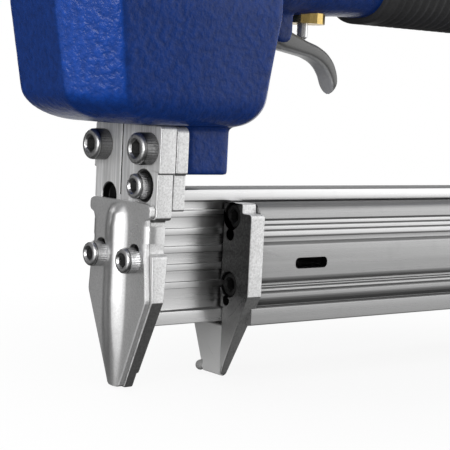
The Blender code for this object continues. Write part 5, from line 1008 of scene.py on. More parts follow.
def make_guide(sizes):
    """The driver guide: its outline carried along X, thinned behind its taper, with a split seam, the middle
    screw's recess and a spare hole cut into its face."""
    outline_half = [(GUIDE_TIP_HALF, 0.0, 0.8), (TAPER_HALF, TAPER_TOP, 1.0),
                    (BELOW_NOTCH_HALF, NOTCH_Z[0], 1.2), (NOTCH_HALF, NOTCH_Z[0], 1.2),
                    (NOTCH_HALF, NOTCH_Z[1], 1.2), (PLATE_HALF, NOTCH_Z[1], 1.5),
                    (PLATE_HALF, SHOULDER_Z, 0.4), (PLATE_TOP_HALF, SHOULDER_Z, 0.4),
                    (PLATE_TOP_HALF, PLATE_TOP, 1.5)]
    front, back = GUIDE_X
    guide = extruded("brushed_guide", rounded(mirrored(outline_half)), "X", front, back)
    tip, above_tip, taper = [front + thickness for thickness in GUIDE_THICKNESSES]
    behind = rounded([(tip, -CUT_PAST, 0), (back + CUT_PAST, -CUT_PAST, 0),
                      (back + CUT_PAST, NOTCH_Z[0], 0), (back, NOTCH_Z[0], 0), (taper, TAPER_TOP, 0),
                      (above_tip, GUIDE_STEP_Z, 0), (tip, GUIDE_STEP_Z, 0)])
    split = box_outline((SPLIT_Y[0], SPLIT_Z[0]), (SPLIT_Y[1], SPLIT_Z[1]))
    recess_r, recess_depth = MIDDLE_RECESS
    carve(guide, extruded("behind", behind, "Y", -CUT_WIDE, CUT_WIDE),
          extruded("split", split, "X", front - 1, front + SPLIT_DEPTH),
          rod("recess", (front - CUT_PAST, *MIDDLE_SCREW), front + recess_depth, recess_r, "X"),
          rod("spare_hole", (front - CUT_PAST, *SPARE_HOLE), front + SPARE_HOLE_DEPTH, SPARE_HOLE_R, "X"))
    break_edges(guide, sizes.plate_edge)
    settle(guide, LOOKS["brushed_steel"], "tool", "driver_guide")


def make_backing():
    """The backing plate: its stepped outline carried along X, with the blade's slot cut into it."""
    inner, outer = BACKING_LOW_HALVES
    high, low = BACKING_LOW_Z
    outline_half = [(inner, RAIL_TOP + GAP, 0), (inner, high, 0), (outer, high, 0), (outer, low, 0),
                    (PLATE_HALF, low, 0.6), (PLATE_HALF, SHOULDER_Z, 0.4), (PLATE_TOP_HALF, SHOULDER_Z, 0.4),
                    (PLATE_TOP_HALF, PLATE_TOP, 3.0)]
    backing = extruded("cast_backing", rounded(mirrored(outline_half)), "X", *BACKING_X)
    slot_half, slot_back = BACKING_SLOT
    slot = box_outline((-slot_half, BACKING_SLOT_Z[0]), (slot_half, BACKING_SLOT_Z[1]))
    carve(backing, extruded("blade_slot", slot, "X", BACKING_X[0] - CUT_PAST, slot_back))
    cast(backing, 0.3 * MM, 1)
    settle(backing, LOOKS["cast_steel"], "tool", "backing_plate")


def cover_rings(sizes):
    """Pressed sheet: across at share s and height z it lies s times the half width out, bulging forward in a
    ridge of a raised cosine. Its margin rolls back by the square of the way into it, more in the neck."""
    widths, ridges = np.array(COVER_WIDTHS), np.array(RIDGE_SHARES)
    z = np.unique(np.concatenate((np.linspace(widths[0, 0], widths[-1, 0], 100), widths[:, 0])))[:, None]
    near_half = np.interp(z, widths[:, 0], widths[:, 1])
    far_half = near_half - COVER_FAR_TRIM * np.clip(1 - z / TAPER_TOP, 0, 1)
    share = np.linspace(-1, 1, 121)
    share = np.sign(share) * np.abs(share) ** 0.85
    half = np.where(share[None, :] < 0, near_half, far_half)
    y = share[None, :] * half
    ridge_half = np.interp(z, ridges[:, 0], ridges[:, 1]) * sizes.ridge_half / MM
    ridge_height = np.interp(z, ridges[:, 0], ridges[:, 2]) * sizes.ridge_height / MM
    ridge_half = ridge_half * np.where(y < RIDGE_Y, *RIDGE_SPREAD)
    ridge_share = np.clip(np.abs(y - RIDGE_Y) / ridge_half, 0, 1) ** np.where(y < RIDGE_Y, 0.8, 1)
    bulge = ridge_height * (0.5 + 0.5 * np.cos(math.pi * ridge_share))
    neck = np.clip(np.minimum(z - NOTCH_Z[0], NOTCH_Z[1] - z) / 2, 0, 1)
    roll_width, roll_depth = [low + neck * (high - low) for low, high in (COVER_ROLL_WIDTH, COVER_ROLL_DEPTH)]
    margin = np.clip((np.abs(y) - half) / roll_width + 1, 0, 1)
    column = np.broadcast_to(z, y.shape)
    face = np.stack((COVER_X[0] - bulge + roll_depth * margin ** 2, y, column), axis=-1)
    rear = np.stack((COVER_X[1] - bulge, y, column), axis=-1)
    return np.concatenate((face, rear[:, ::-1]), axis=1)


def make_cover(sizes):
    """The pressed sheet with a slot for each screw, and on each side a tab: a bent strip carried along Z."""
    cover = skin("pressed_cover", cover_rings(sizes))
    radius = SCREWS["M5"][2] + 0.5
    face, (cut_front, cut_back) = COVER_X[0], (COVER_X[0] - 3, COVER_X[1] + 1)
    bend_start, inner, outer = TAB_OUT - TAB_BEND, TAB_OUT - TAB_T, TAB_OUT
    cuts, tabs = [], []
    for side in (NEAR, FAR):
        middle = side * COVER_SCREW_Y
        slot_low, slot_high = COVER_SCREW_Z - radius, COVER_SCREW_Z + COVER_SLOT_RISE
        slot = box_outline((middle - radius, slot_low), (middle + radius, slot_high), 0.98 * radius)
        low, high = sorted((side * bend_start, side * CUT_WIDE))
        room = box_outline((low, TAB_Z[0]), (high, TAB_Z[1]))
        cuts += [extruded("slot", slot, "X", cut_front, cut_back),
                 extruded("tab_room", room, "X", cut_front, cut_back)]
        bend = rounded([(face, side * (bend_start - 1.5), 0), (face, side * outer, TAB_BEND),
                        (TAB_BACK, side * outer, 0.5), (TAB_BACK, side * inner, 0.3),
                        (face + TAB_T, side * inner, TAB_BEND - TAB_T),
                        (face + TAB_T, side * (bend_start - 1.5), 0)], 12)
        tabs.append(extruded("tab", bend, "Z", *TAB_Z))
    carve(cover, *cuts)
    carve(cover, *tabs, operation="UNION")
    shade(cover, 38)
    settle(cover, LOOKS["satin_steel"], "tool", "nose_cover")


def make_rail():
    """The rail's section, ribbed on its near side between foot and flange, carried along X."""
    near = [(FOOT_Y[0], FOOT_Z[0], 0.4), (FOOT_Y[0], FOOT_Z[1], 0.5), (WEB_Y[0], FOOT_Z[1], 0.5)]
    proud = WEB_Y[0] - RIB_H
    for number in reversed(range(RIB_COUNT)):
        middle = RIB_TOP_Z - number * RIB_PITCH
        low, high = middle - RIB_W / 2, middle + RIB_W / 2
        near += [(WEB_Y[0], low, 0.15), (proud, low, 0.2), (proud, high, 0.2), (WEB_Y[0], high, 0.15)]
    near += [(WEB_Y[0], FLANGE_Z, 0.6), (-FLANGE_HALF, FLANGE_Z, 0.5), (-FLANGE_HALF, RAIL_TOP, 0.5)]
    far = [(FLANGE_HALF, RAIL_TOP, 0.5), (FLANGE_HALF, FLANGE_Z, 0.5), (WEB_Y[1], FLANGE_Z, 0.6),
           (WEB_Y[1], FOOT_Z[1], 0.5), (FOOT_Y[1], FOOT_Z[1], 0.5), (FOOT_Y[1], FOOT_Z[0], 0.4)]
    rail = extruded("drawn_rail", rounded(near + far, 4), "X", *RAIL_X)
    shut = GUIDE_X[1] + GAP - CLAW_X[0]
    front = LATCH_HOOK_X + shut - LATCH_PLAY
    back = LATCH_HOOK_X + shut + LATCH_HOOK_W + LATCH_PLAY
    notch_outline = box_outline((front, LATCH_NOTCH_Z[0]), (back, LATCH_NOTCH_Z[1]))
    carve(rail, extruded("latch_notch", notch_outline, "Y", -12, 12))
    shade(rail, 30)
    settle(rail, LOOKS["aluminium"], "tool", "fixed_rail")


def make_bracket():
    """A foot and a head joined by a narrow web: the profile carried along Y and softened as a casting."""
    start, end = BRACKET_X
    low, high = BRACKET_Z
    web_front, web_back = [(start + end) / 2 + side * BRACKET_WEB / 2 for side in (-1, 1)]
    foot, head = BRACKET_FOOT_TOP, BRACKET_HEAD_LOW
    profile = [(start, low, 0.8), (end, low, 0.8), (end, foot, 1.5), (web_back, foot, 4.0),
               (web_back, head, 4.0), (end, head, 1.5), (end, high, 0.8), (start, high, 0.8),
               (start, head, 1.5), (web_front, head, 4.0), (web_front, foot, 4.0), (start, foot, 1.5)]
    bracket = extruded("painted_bracket", rounded(profile, 8), "Y", -BRACKET_HALF, BRACKET_HALF)
    cast(bracket, 0.6 * MM)
    settle(bracket, LOOKS["blue_paint"], "tool", "rear_bracket")


def slide_wall():
    """Outer face of the sliding cover's wall from its top lip down: distance out, height, corner radius."""
    wall = [(SLIDE_TOP_LIP, SLIDE_TOP, 0.4), (SLIDE_RIB_HALF, SLIDE_TOP, 4.8)]
    for z in UPPER_GROOVES:
        wall += groove(z)
    wall += SLIDE_WAIST
    for z in LOWER_GROOVES:
        wall += groove(z)
    return [*wall, *SLIDE_BEAD, *SLIDE_FOOT]


def groove(z):
    """A shallow groove in the wall, listed from its upper lip."""
    deep, half = SLIDE_RIB_HALF - GROOVE, GROOVE / 2
    return [(SLIDE_RIB_HALF, z + half, 0.12), (deep, z + half, 0.2), (deep, z - half, 0.2),
            (SLIDE_RIB_HALF, z - half, 0.12)]


def slide_inside(inner, foot_room):
    """Inner face of the sliding cover's wall from its top down: distance out, height, corner radius."""
    wall, hollow = SLIDE_HOLLOW
    return [(inner, SLIDE_TOP, 0.3), (inner, SLIDE_BLOCK_LOW, 0.3), (wall, SLIDE_BLOCK_LOW, 0.3),
            (hollow, SLIDE_BLOCK_LOW - 1.4, 0.3), (hollow, SLIDE_MID_TOP + 1.4, 0.3),
            (wall, SLIDE_MID_TOP, 0.3), (inner, SLIDE_MID_TOP, 0.3), (inner, LEDGE_Z, 0.2),
            (foot_room, LEDGE_Z, 0.2), (foot_room, SLIDE_BRIDGE_Z[1], 0.2)]


def make_slide():
    """The sliding cover's section carried along X, and cut for the sight, the latch's hook and the claw."""
    bridge_low = SLIDE_BRIDGE_Z[0]
    outer = slide_wall() + [(SLIDE_BRIDGE_HALF, SLIDE_BOTTOM, 0.4), (SLIDE_BRIDGE_HALF, bridge_low, 0.4)]
    far_in = slide_inside(CLAW_WINDOW_Y[1], FOOT_ROOM_Y[1])
    near_in = slide_inside(-CLAW_WINDOW_Y[0], -FOOT_ROOM_Y[0])
    outline = ([(-y, z, r) for y, z, r in outer] + list(reversed(outer)) + far_in
               + [(-y, z, r) for y, z, r in reversed(near_in)])
    slide = extruded("drawn_slide", rounded(outline, 4), "X", SLIDE_LIP_X, SLIDE_X[1])
    sight = box_outline((SIGHT_SLOT_X[0], SIGHT_SLOT_Z[0]), (SIGHT_SLOT_X[1], SIGHT_SLOT_Z[1]), 1.85)
    hook_front, hook_back = LATCH_HOOK_X - HOOK_HOLE_PLAY, LATCH_HOOK_X + LATCH_HOOK_W + HOOK_HOLE_PLAY
    hook = box_outline((hook_front, HOOK_HOLE_Z[0]), (hook_back, HOOK_HOLE_Z[1]))
    hook_half = LATCH_HALF + LATCH_PLAY
    seat = box_outline((-CUT_WIDE, SLIDE_LIP_TOP), (CUT_WIDE, CUT_HIGH))
    room = box_outline((-CLAW_ROOM_HALF, CLAW_ROOM_Z[0]), (CLAW_ROOM_HALF, CLAW_ROOM_Z[1]))
    carve(slide, extruded("sight_slot", sight, "Y", -SLIDE_HALF - CUT_PAST, -SLIDE_HALF + CUT_PAST),
          extruded("hook_hole", hook, "Y", -hook_half, hook_half),
          extruded("claw_seat", seat, "X", CUT_AHEAD, SLIDE_X[0]),
          extruded("claw_room", room, "X", CUT_AHEAD, SLIDE_X[0] - 0.01))
    shade(slide, 30)
    settle(slide, LOOKS["slide_aluminium"], "magazine", "slide_cover")


def make_end_plate():
    """The plate behind the sliding cover: its outline carried along X, with two lugs for the latch's pin."""
    low, high = END_PLATE_X
    gap, lug_half = LATCH_HALF + GAP, END_PLATE_LUG_HALF
    lug_low, lug_high = END_PLATE_LUG_Z
    lug_front, lug_back = LATCH_PIVOT[0] - END_PLATE_LUG_REACH, low + 3
    shoulder_half, shoulder_z = END_PLATE_SHOULDER
    outline_half = [(lug_half, lug_low, 1.5), (lug_half, SLIDE_BOTTOM, 1.0), (SLIDE_HALF, SLIDE_BOTTOM, 1.5),
                    (SLIDE_HALF, shoulder_z, 3.0), (shoulder_half, SLIDE_TOP, 1.0)]
    plate = extruded("moulded_end_plate", rounded(mirrored(outline_half)), "X", low, high)
    slot = box_outline((-gap, 4.0), (gap, lug_high))
    carve(plate, extruded("latch_gap", slot, "X", low - CUT_PAST, high + CUT_PAST))
    lug = rounded([(lug_front, lug_low, 3.0), (lug_back, lug_low, 0), (lug_back, lug_high, 0),
                   (lug_front, lug_high, 0.5)])
    lugs = [extruded("lug", lug, "Y", *sorted((side * gap, side * lug_half))) for side in (NEAR, FAR)]
    carve(plate, *lugs, operation="UNION")
    cast(plate, 0.45 * MM, 2)
    settle(plate, LOOKS["black_plastic"], "magazine", "slide_end_plate")


def make_claw(sizes):
    """The claw's outline carried along X, cut for the rail, the blade, the pins and the screws, thinned
    behind its taper and faded at its near tip, with a ball joined on as a nub."""
    front, back = CLAW_X
    ahead, beyond, recess_back = front - CUT_PAST, back + CUT_PAST, front + CLAW_RECESS
    upper = [(CLAW_HALF, TAPER_TOP, 1.0), (CLAW_HALF, CLAW_SHOULDER_Z, 1.5),
             (CLAW_STEP_HALF, CLAW_SHOULDER_Z, 0.8), (CLAW_STEP_HALF, CLAW_TOP, 1.0)]
    near_tip, far_tip = CLAW_TIP_HALVES
    outline = [(far_tip, 0.3, 1.0), *upper, *((-y, z, radius) for y, z, radius in reversed(upper)),
               (-near_tip, 0.3, 2.6)]
    claw = extruded("cast_claw", rounded(outline), "X", front, back)
    (near, far), (window_near, window_far) = FOOT_ROOM_Y, CLAW_WINDOW_Y
    window = [(near, CLAW_BRIDGE_Z), (far, CLAW_BRIDGE_Z), (far, LEDGE_Z), (window_far, LEDGE_Z),
              (window_far, CUT_HIGH), (window_near, CUT_HIGH), (window_near, LEDGE_Z), (near, LEDGE_Z)]
    wide, faded, tip_back = CUT_WIDE + CUT_PAST, front + CLAW_FADE, front + CLAW_TIP_T
    recess = box_outline((near, -CUT_PAST), (wide, CLAW_BRIDGE_Z + 0.5))
    blade_way = box_outline((window_near, CLAW_BRIDGE_Z), (BLADE_ROOM_Y, CUT_HIGH))
    fade = [(front - 2, -CUT_PAST), (faded, -CUT_PAST), (faded, 0), (front, CLAW_LAND_Z),
            (front - 2, CLAW_LAND_Z)]
    behind = [(tip_back, 0), (tip_back, -CUT_PAST), (beyond, -CUT_PAST), (beyond, TAPER_TOP),
              (back, TAPER_TOP)]
    tools = [extruded("window", window, "X", ahead, beyond),
             extruded("recess", recess, "X", ahead, recess_back),
             extruded("blade_way", blade_way, "X", ahead, recess_back),
             extruded("fade", fade, "Y", -wide, near + 0.5), extruded("behind", behind, "Y", -wide, wide)]
    screw_bore = SCREWS["M5"][0] + 0.12
    for side in (NEAR, FAR):
        tools += [rod("pin_hole", (ahead, side * y, z), beyond, CLAW_PIN_R, "X") for y, z in CLAW_PINS]
        tools += [rod("screw_recess", (ahead, side * y, z), front + CLAW_SCREW_SEAT, screw_bore, "X")
                  for y, z in CLAW_SCREWS]
    carve(claw, *tools)
    turn = np.linspace(-math.pi / 2, math.pi / 2, 13)[1:-1]
    nub_place = (recess_back + CLAW_NUB_BACK, far_tip + CLAW_NUB_OUT, CLAW_NUB_R)
    nub_radius, nub_height = CLAW_NUB_R * np.cos(turn), CLAW_NUB_R * np.sin(turn)
    nub = skin("nub", round_rings(nub_radius, nub_height, nub_place, (0, 0, 1), 24))
    carve(claw, nub, operation="UNION")
    break_edges(claw, sizes.plate_edge)
    settle(claw, LOOKS["claw_steel"], "magazine", "claw")


def make_latch():
    """The latch's profile, a hook in front and a thumb pad behind, carried along Y and softened."""
    x, z = LATCH_PIVOT
    hook_front, hook_back = LATCH_HOOK_X, LATCH_HOOK_X + LATCH_HOOK_W
    plate_back = END_PLATE_X[1]
    pad_end = plate_back + LATCH_PAD
    front_top, back_top = LATCH_HOOK_TOPS
    profile = [(hook_front, z - 3.5, 2.0), (pad_end, z - 5.5, 1.2), (pad_end, z - 1.5, 1.2),
               (x + 6.0, LATCH_TOP, 2.0), (hook_back, LATCH_TOP, 0.4), (hook_back, back_top, 0.5),
               (hook_front, front_top, 0.5)]
    latch = extruded("cast_latch", rounded(profile), "Y", -LATCH_HALF, LATCH_HALF)
    carve(latch, *[rod("thumb_groove", (plate_back + offset, -10, z - 0.6), 10, 0.8, "Y", 24)
                   for offset in (3.0, 5.0, 7.0)])
    cast(latch, 0.35 * MM, 2)
    settle(latch, LOOKS["die_cast"], "latch", "latch_lever")


def screw_rows(size, length, knurl):
    """Socket screw as rows of radius, height and tone: from the shank's end, out under the head, up its
    knurled side, over the rounded rim and down the socket. The knurl takes a share of a cosine from the
    side's radius; the socket's rows are hexagons. The tone is painted shade: darker on the knurled side, in a
    thin ring under the rim and deep in the socket."""
    head, top, shank, flats = SCREWS[size]
    angle = np.linspace(0, 2 * math.pi, SCREW_STEPS, endpoint=False)
    side = head - knurl * (1 - np.abs(np.cos(KNURL_GROOVES * angle)) ** 0.5)
    socket = hexagon(angle, flats)
    rows = [(shank - 0.4, -length, 0.6), (shank, 0.4 - length, 0.6), (shank, 0.0, 0.6),
            (head - 0.25, 0.0, "side"), (side, 0.25, "side"), (side, 0.7 * top, "side"),
            (head - 0.05, 0.72 * top, 0.2), (head - 0.05, 0.78 * top, 0.2), (head - 0.08, 0.82 * top, 0.9),
            (head - 0.14, 0.87 * top, 1.0), (head - 0.42, 0.945 * top, 1.0), (head - 0.85, 0.99 * top, 1.0),
            (head - 1.2, top, 0.95), (1.34 * flats, top, 0.85), (1.2 * flats, top - 0.3, 0.6),
            (np.minimum(socket, 1.12 * flats), top - 0.55, 0.8), (socket, top - 0.75, 0.85),
            (socket, 0.5 * top, 0.6), (0.97 * socket, 0.45 * top, 0.1)]
    return [(np.broadcast_to(radius, SCREW_STEPS), height, tone) for radius, height, tone in rows]


def screw_list():
    """Name, size, length, seat, outward direction, look and body of every screw."""
    forward, back, up, down = (-1, 0, 0), (1, 0, 0), (0, 0, 1), (0, 0, -1)
    dark, sunk, zinc = "dark_screw", "sunk_screw", "zinc_screw"
    front, plate_back, claw_seat = GUIDE_X[0], END_PLATE_X[1], CLAW_X[0] + CLAW_SCREW_SEAT
    middle_seat = (front + MIDDLE_RECESS[1], *MIDDLE_SCREW)
    screws = [("guide_screw_middle", "M5", 10.4, middle_seat, forward, zinc, "tool"),
              ("deflector_screw", "M5", 21.0, (DRIVE_X, 0, DEFLECTOR_Z[1]), up, dark, "tool")]
    for side, label in ((FAR, "far"), (NEAR, "near")):
        guide_seat = (front, side * GUIDE_SCREW_Y, GUIDE_SCREW_Z)
        cover_seat = (COVER_X[0], side * COVER_SCREW_Y, COVER_SCREW_Z)
        plate_seat = (plate_back, side * CLAW_SCREWS[0][0], CLAW_SCREWS[0][1])
        screws += [("guide_screw_" + label, "M6", 22.0, guide_seat, forward, dark, "tool"),
                   ("cover_screw_" + label, "M5", 8.3, cover_seat, forward, zinc, "tool"),
                   ("end_plate_screw_" + label, "M4", 12.0, plate_seat, back, zinc, "magazine")]
        for height, (y, z) in zip(("upper", "lower"), CLAW_SCREWS):
            place = (claw_seat, side * y, z)
            screws.append((f"claw_screw_{height}_{label}", "M5", 14.0, place, forward, sunk, "magazine"))
    corners = [(i, j) for i in (-1, 1) for j in (-1, 1)]
    for number, (place, (i, j)) in enumerate(zip(cap_screw_places(), corners), 1):
        end_seat = (END_CAP_X[1], i * END_SCREW_Y, HANDLE_Z + j * END_SCREW_Z)
        screws += [(f"cap_screw_{number}", "M5", 32.0, (*place, CAP_SEAT), up, dark, "tool"),
                   (f"end_cap_screw_{number}", "M4", 16.0, end_seat, back, zinc, "tool")]
    for x, label in zip(BRACKET_SCREWS, ("front", "rear")):
        screws += [("rail_screw_" + label, "M4", 9.0, (x, 0, BRACKET_FOOT_TOP), up, zinc, "tool"),
                   ("bracket_screw_" + label, "M5", 14.0, (x, 0, BRACKET_HEAD_LOW), down, zinc, "tool")]
    return screws


def make_screws(sizes):
    """Each screw's rows turned about its axis at its seat."""
    for name, size, length, seat, outward, look, body in screw_list():
        rows = screw_rows(size, length, sizes.knurl / MM)
        radius, height = np.stack([row[0] for row in rows]), np.array([row[1] for row in rows])
        screw = skin("socket_" + name, round_rings(radius, height, seat, outward, SCREW_STEPS))
        tone_rings(screw, [HEAD_SIDE_TONES[look] if row[2] == "side" else row[2] for row in rows])
        shade(screw, 32)
        settle(screw, LOOKS[look + "_head"], body, name)


def make_springs():
    """Round wires wound on a helix: at angle a the wire's middle lies the spring's radius out, and the height
    grows with a."""
    for node, body, joint, axis, centre, radius, wire, (start, stop), turns, travel in SPRINGS:
        out_u, out_v, along = basis(axis)
        angle = np.linspace(0, 2 * math.pi * turns, 20 * turns + 1)[:, None, None]
        around = np.linspace(0, 2 * math.pi, 10, endpoint=False)[None, :, None]
        outward = np.cos(angle) * out_u + np.sin(angle) * out_v
        rise = start + wire + (stop - start - 2 * wire) * angle / angle.max()
        out, up = radius + wire * np.cos(around), rise + wire * np.sin(around)
        rings = np.array(centre) + outward * out + along * up
        spring = skin("coiled_" + node, rings)
        tidy(spring.data)
        shade(spring, 60)
        settle(spring, LOOKS["spring_steel"], body, node)
        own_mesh(spring)


def dress_frame():
    """Give each CAD node that still shows the look of its slot in the record."""
    slots = {part["node"]: part["material_slot"] for part in frame["record"]["subparts"]}
    for name, node in frame["nodes"].items():
        if not node.hide_render:
            node.data.materials.clear()
            node.data.materials.append(LOOKS[slots[name]])


# Stage

def make_world(scene):
    """White to the camera; to reflections the studio's panels, four white and one dark, in a dimmer room that
    darkens below; to everything else a soft even grey."""
    world = bpy.data.worlds.new("studio")
    scene.world = world
    world.use_nodes = True
    tree = world.node_tree

    def math_node(operation, first, second):
        """Two values joined by one of Blender's math operations."""
        node = tree.nodes.new("ShaderNodeMath")
        node.operation = operation
        for value, socket in zip((first, second), node.inputs):
            if isinstance(value, bpy.types.NodeSocket):
                tree.links.new(value, socket)
            else:
                socket.default_value = value
        return node.outputs[0]

    def vector_node(operation, first, second=None):
        """A vector changed by one of Blender's vector operations."""
        node = tree.nodes.new("ShaderNodeVectorMath")
        node.operation = operation
        tree.links.new(first, node.inputs[0])
        if second is not None:
            node.inputs[1].default_value = second
        return node.outputs["Vector"]

    direction = tree.nodes.new("ShaderNodeTexCoord").outputs["Generated"]
    direction = vector_node("NORMALIZE", vector_node("MULTIPLY", direction, PANEL_FLATTEN))
    shown = ROOM_LEVEL
    for facing, edges, level in PANELS:
        toward = tree.nodes.new("ShaderNodeVectorMath")
        toward.operation = "DOT_PRODUCT"
        toward.inputs[1].default_value = facing
        tree.links.new(direction, toward.inputs[0])
        spread = tree.nodes.new("ShaderNodeMapRange")
        spread.interpolation_type = "SMOOTHSTEP"
        spread.inputs["From Min"].default_value, spread.inputs["From Max"].default_value = edges
        spread.inputs["To Max"].default_value = level - ROOM_LEVEL
        tree.links.new(toward.outputs["Value"], spread.inputs["Value"])
        shown = math_node("ADD", spread.outputs["Result"], shown)
    height = tree.nodes.new("ShaderNodeSeparateXYZ")
    tree.links.new(direction, height.inputs[0])
    below = tree.nodes.new("ShaderNodeMapRange")
    below.inputs["From Min"].default_value, below.inputs["From Max"].default_value = BELOW_EDGES
    below.inputs["To Min"].default_value = BELOW_LEVEL
    tree.links.new(height.outputs["Z"], below.inputs["Value"])
    shown = math_node("MULTIPLY", math_node("MAXIMUM", shown, 0.0), below.outputs["Result"])
    path = tree.nodes.new("ShaderNodeLightPath")
    reflected = math_node("MAXIMUM", path.outputs["Is Glossy Ray"], path.outputs["Is Transmission Ray"])
    seen = path.outputs["Is Camera Ray"]
    strength = math_node("MAXIMUM", math_node("MULTIPLY", shown, reflected), seen)
    others = math_node("SUBTRACT", 1.0, math_node("MAXIMUM", reflected, seen))
    shed = math_node("MULTIPLY", others, AMBIENT_LEVEL)
    sky = tree.nodes["Background"]
    sky.inputs["Color"].default_value = (1, 1, 1, 1)
    tree.links.new(math_node("ADD", strength, shed), sky.inputs["Strength"])


def make_floor(colour):
    """A wide pale floor just below the tip. It keeps the shadow near the object, turns plain white to the
    camera further out, and leaves reflections to the studio's panels."""
    corners = [(x * FLOOR_HALF, y * FLOOR_HALF, FLOOR_Z) for x, y in ((-1, -1), (1, -1), (1, 1), (-1, 1))]
    floor = put_mesh("floor", corners, [(0, 1, 2, 3)])
    floor.visible_glossy = False
    look = Look("pale_floor", "floor", roughness=0.9)
    look.shader.inputs["Specular IOR Level"].default_value = 0.0
    nodes = look.tree.nodes
    from_centre = nodes.new("ShaderNodeVectorMath")
    from_centre.operation = "DISTANCE"
    from_centre.inputs[1].default_value = [place * MM for place in SHADOW_CENTRE]
    look.link(look.coordinates.outputs["Object"], from_centre.inputs[0])
    low, high = [edge * MM for edge in SHADOW_EDGES]
    plain = look.scaled(from_centre.outputs["Value"], low, high, SHADOW_WHITE, 1.0)
    seen = nodes.new("ShaderNodeLightPath").outputs["Is Camera Ray"]
    look.link(look.between(seen, share_of(FLOOR_BOUNCE, colour), colour), look.shader.inputs["Base Color"])
    mix = nodes.new("ShaderNodeMixShader")
    glow = nodes.new("ShaderNodeEmission")
    look.link(look.times(seen, plain), mix.inputs["Fac"])
    look.link(look.shader.outputs[0], mix.inputs[1])
    look.link(glow.outputs[0], mix.inputs[2])
    look.link(mix.outputs[0], nodes["Material Output"].inputs["Surface"])
    floor.data.materials.append(look.material)


def add_lamp(name, place, target, size, level, gloss):
    """A square soft box whose light on a surface facing it, at the target, is level times plain white."""
    place, target = np.array(place, float), np.array(target, float)
    away = (place - target) / np.linalg.norm(place - target)
    lamp = bpy.data.lights.new(name, "AREA")
    lamp.shape = "SQUARE"
    lamp.size = size * MM
    lamp.specular_factor = gloss
    lamp.energy = level * (math.pi * np.linalg.norm(place - target) * MM) ** 2
    obj = bpy.data.objects.new(name, lamp)
    side = np.cross((0, 0, 1), away)
    side /= np.linalg.norm(side)
    up = np.cross(away, side)
    obj.visible_camera = False
    rows = np.column_stack((side, up, away, place * MM))
    obj.matrix_world = Matrix([[*row] for row in rows] + [[0, 0, 0, 1]])
    bpy.context.scene.collection.objects.link(obj)


def make_camera(scene):
    """Camera at the solved place: it looks down by the pitch, is turned by the yaw and leans by the roll."""
    yaw, down, roll = np.radians((CAMERA_YAW, CAMERA_DOWN, CAMERA_ROLL))
    ahead = np.array((math.sin(yaw) * math.cos(down), math.cos(yaw) * math.cos(down), -math.sin(down)))
    level = np.array((math.cos(yaw), -math.sin(yaw), 0))
    upright = np.cross(level, ahead)
    right = level * math.cos(roll) + upright * math.sin(roll)
    up = upright * math.cos(roll) - level * math.sin(roll)
    lens = bpy.data.cameras.new("camera")
    lens.sensor_width = SENSOR
    lens.lens = SENSOR * CAMERA_FOCAL_PX / IMAGE_PX
    lens.clip_start = 0.01
    camera = bpy.data.objects.new("camera", lens)
    rows = np.column_stack((right, up, -ahead, np.array(CAMERA_PLACE) * MM))
    camera.matrix_world = Matrix([[*row] for row in rows] + [[0, 0, 0, 1]])
    scene.collection.objects.link(camera)
    scene.camera = camera


def make_stage(context):
    """Camera, world, floor and lamps."""
    scene = context.scene
    scene.view_settings.view_transform = "Standard"
    make_camera(scene)
    make_world(scene)
    make_floor(scene.nailer_colours.floor)
    for name, place, size, level, gloss in LAMPS:
        add_lamp(name, place, LAMP_TARGET, size, level, gloss)


# Operators

class NAILER_OT_looks(Operator):
    """Make the procedural materials"""
    bl_idname = "nailer.looks"
    bl_label = "Looks"

    def execute(self, context):
        make_looks(context)
        return {"FINISHED"}


class NAILER_OT_housing(Operator):
    """Cast body and handle"""
    bl_idname = "nailer.housing"
    bl_label = "Housing"

    def execute(self, context):
        make_housing(context.scene.nailer_sizes)
        return {"FINISHED"}


class NAILER_OT_cap(Operator):
    """Cylinder cap, its gasket and its deflector"""
    bl_idname = "nailer.cap"
    bl_label = "Cap"

    def execute(self, context):
        make_cap(context.scene.nailer_sizes)
        make_gasket(context.scene.nailer_sizes)
        make_deflector()
        return {"FINISHED"}


class NAILER_OT_handle_end(Operator):
    """Grip, end cap and air plug"""
    bl_idname = "nailer.handle_end"
    bl_label = "Handle end"

    def execute(self, context):
        make_grip(context.scene.nailer_sizes)
        make_end_cap()
        make_plug()
        return {"FINISHED"}


class NAILER_OT_trigger(Operator):
    """Hooked trigger"""
    bl_idname = "nailer.trigger"
    bl_label = "Trigger"

    def execute(self, context):
        make_trigger(context.scene.nailer_sizes)
        return {"FINISHED"}


class NAILER_OT_nose(Operator):
    """Driver guide and backing plate"""
    bl_idname = "nailer.nose"
    bl_label = "Nose plates"

    def execute(self, context):
        make_guide(context.scene.nailer_sizes)
        make_backing()
        return {"FINISHED"}


class NAILER_OT_cover(Operator):
    """Pressed nose cover"""
    bl_idname = "nailer.cover"
    bl_label = "Nose cover"

    def execute(self, context):
        make_cover(context.scene.nailer_sizes)
        return {"FINISHED"}


class NAILER_OT_rail(Operator):
    """Fixed rail and rear bracket"""
    bl_idname = "nailer.rail"
    bl_label = "Rail"

    def execute(self, context):
        make_rail()
        make_bracket()
        return {"FINISHED"}


class NAILER_OT_slide(Operator):
    """Sliding cover and its end plate"""
    bl_idname = "nailer.slide"
    bl_label = "Slide"

    def execute(self, context):
        make_slide()
        make_end_plate()
        return {"FINISHED"}


class NAILER_OT_claw(Operator):
    """Claw plate"""
    bl_idname = "nailer.claw"
    bl_label = "Claw"

    def execute(self, context):
        make_claw(context.scene.nailer_sizes)
        return {"FINISHED"}


class NAILER_OT_latch(Operator):
    """Latch lever"""
    bl_idname = "nailer.latch"
    bl_label = "Latch"

    def execute(self, context):
        make_latch()
        return {"FINISHED"}


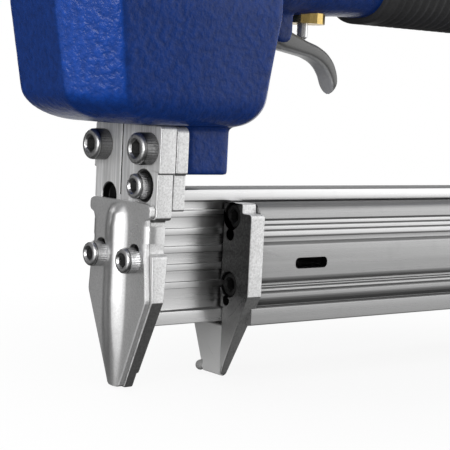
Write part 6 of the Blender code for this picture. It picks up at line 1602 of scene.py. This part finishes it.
class NAILER_OT_screws(Operator):
    """All the socket screws"""
    bl_idname = "nailer.screws"
    bl_label = "Screws"

    def execute(self, context):
        make_screws(context.scene.nailer_sizes)
        return {"FINISHED"}


class NAILER_OT_springs(Operator):
    """Springs of the head valve, the trigger valve and the pusher"""
    bl_idname = "nailer.springs"
    bl_label = "Springs"

    def execute(self, context):
        make_springs()
        return {"FINISHED"}


class NAILER_OT_frame(Operator):
    """Looks for the CAD nodes that stay"""
    bl_idname = "nailer.frame"
    bl_label = "Inner pieces"

    def execute(self, context):
        dress_frame()
        return {"FINISHED"}


class NAILER_OT_stage(Operator):
    """Floor, light and camera"""
    bl_idname = "nailer.stage"
    bl_label = "Stage"

    def execute(self, context):
        make_stage(context)
        return {"FINISHED"}


OPERATORS = [NAILER_OT_looks, NAILER_OT_housing, NAILER_OT_cap, NAILER_OT_handle_end,
             NAILER_OT_trigger, NAILER_OT_nose, NAILER_OT_cover, NAILER_OT_rail,
             NAILER_OT_slide, NAILER_OT_claw, NAILER_OT_latch, NAILER_OT_screws,
             NAILER_OT_springs, NAILER_OT_frame, NAILER_OT_stage]


class NAILER_PT_pieces(Panel):
    """Lists the operators in the sidebar"""
    bl_label = "Flooring nailer"
    bl_space_type = "VIEW_3D"
    bl_region_type = "UI"
    bl_category = "Nailer"

    def draw(self, context):
        for operator in OPERATORS:
            self.layout.operator(operator.bl_idname)


CLASSES = [NailerSizes, NailerColours, *OPERATORS, NAILER_PT_pieces]


def register():
    """Add the classes, and the sizes and colours that the scene keeps."""
    for cls in CLASSES:
        bpy.utils.register_class(cls)
    bpy.types.Scene.nailer_sizes = PointerProperty(type=NailerSizes)
    bpy.types.Scene.nailer_colours = PointerProperty(type=NailerColours)


def unregister():
    """Take away what register added."""
    del bpy.types.Scene.nailer_colours, bpy.types.Scene.nailer_sizes
    for cls in reversed(CLASSES):
        bpy.utils.unregister_class(cls)


def main():
    """Build every piece in order."""
    register()
    for operator in OPERATORS:
        group, name = operator.bl_idname.split(".")
        getattr(getattr(bpy.ops, group), name)()


if __name__ == "__main__":
    main()
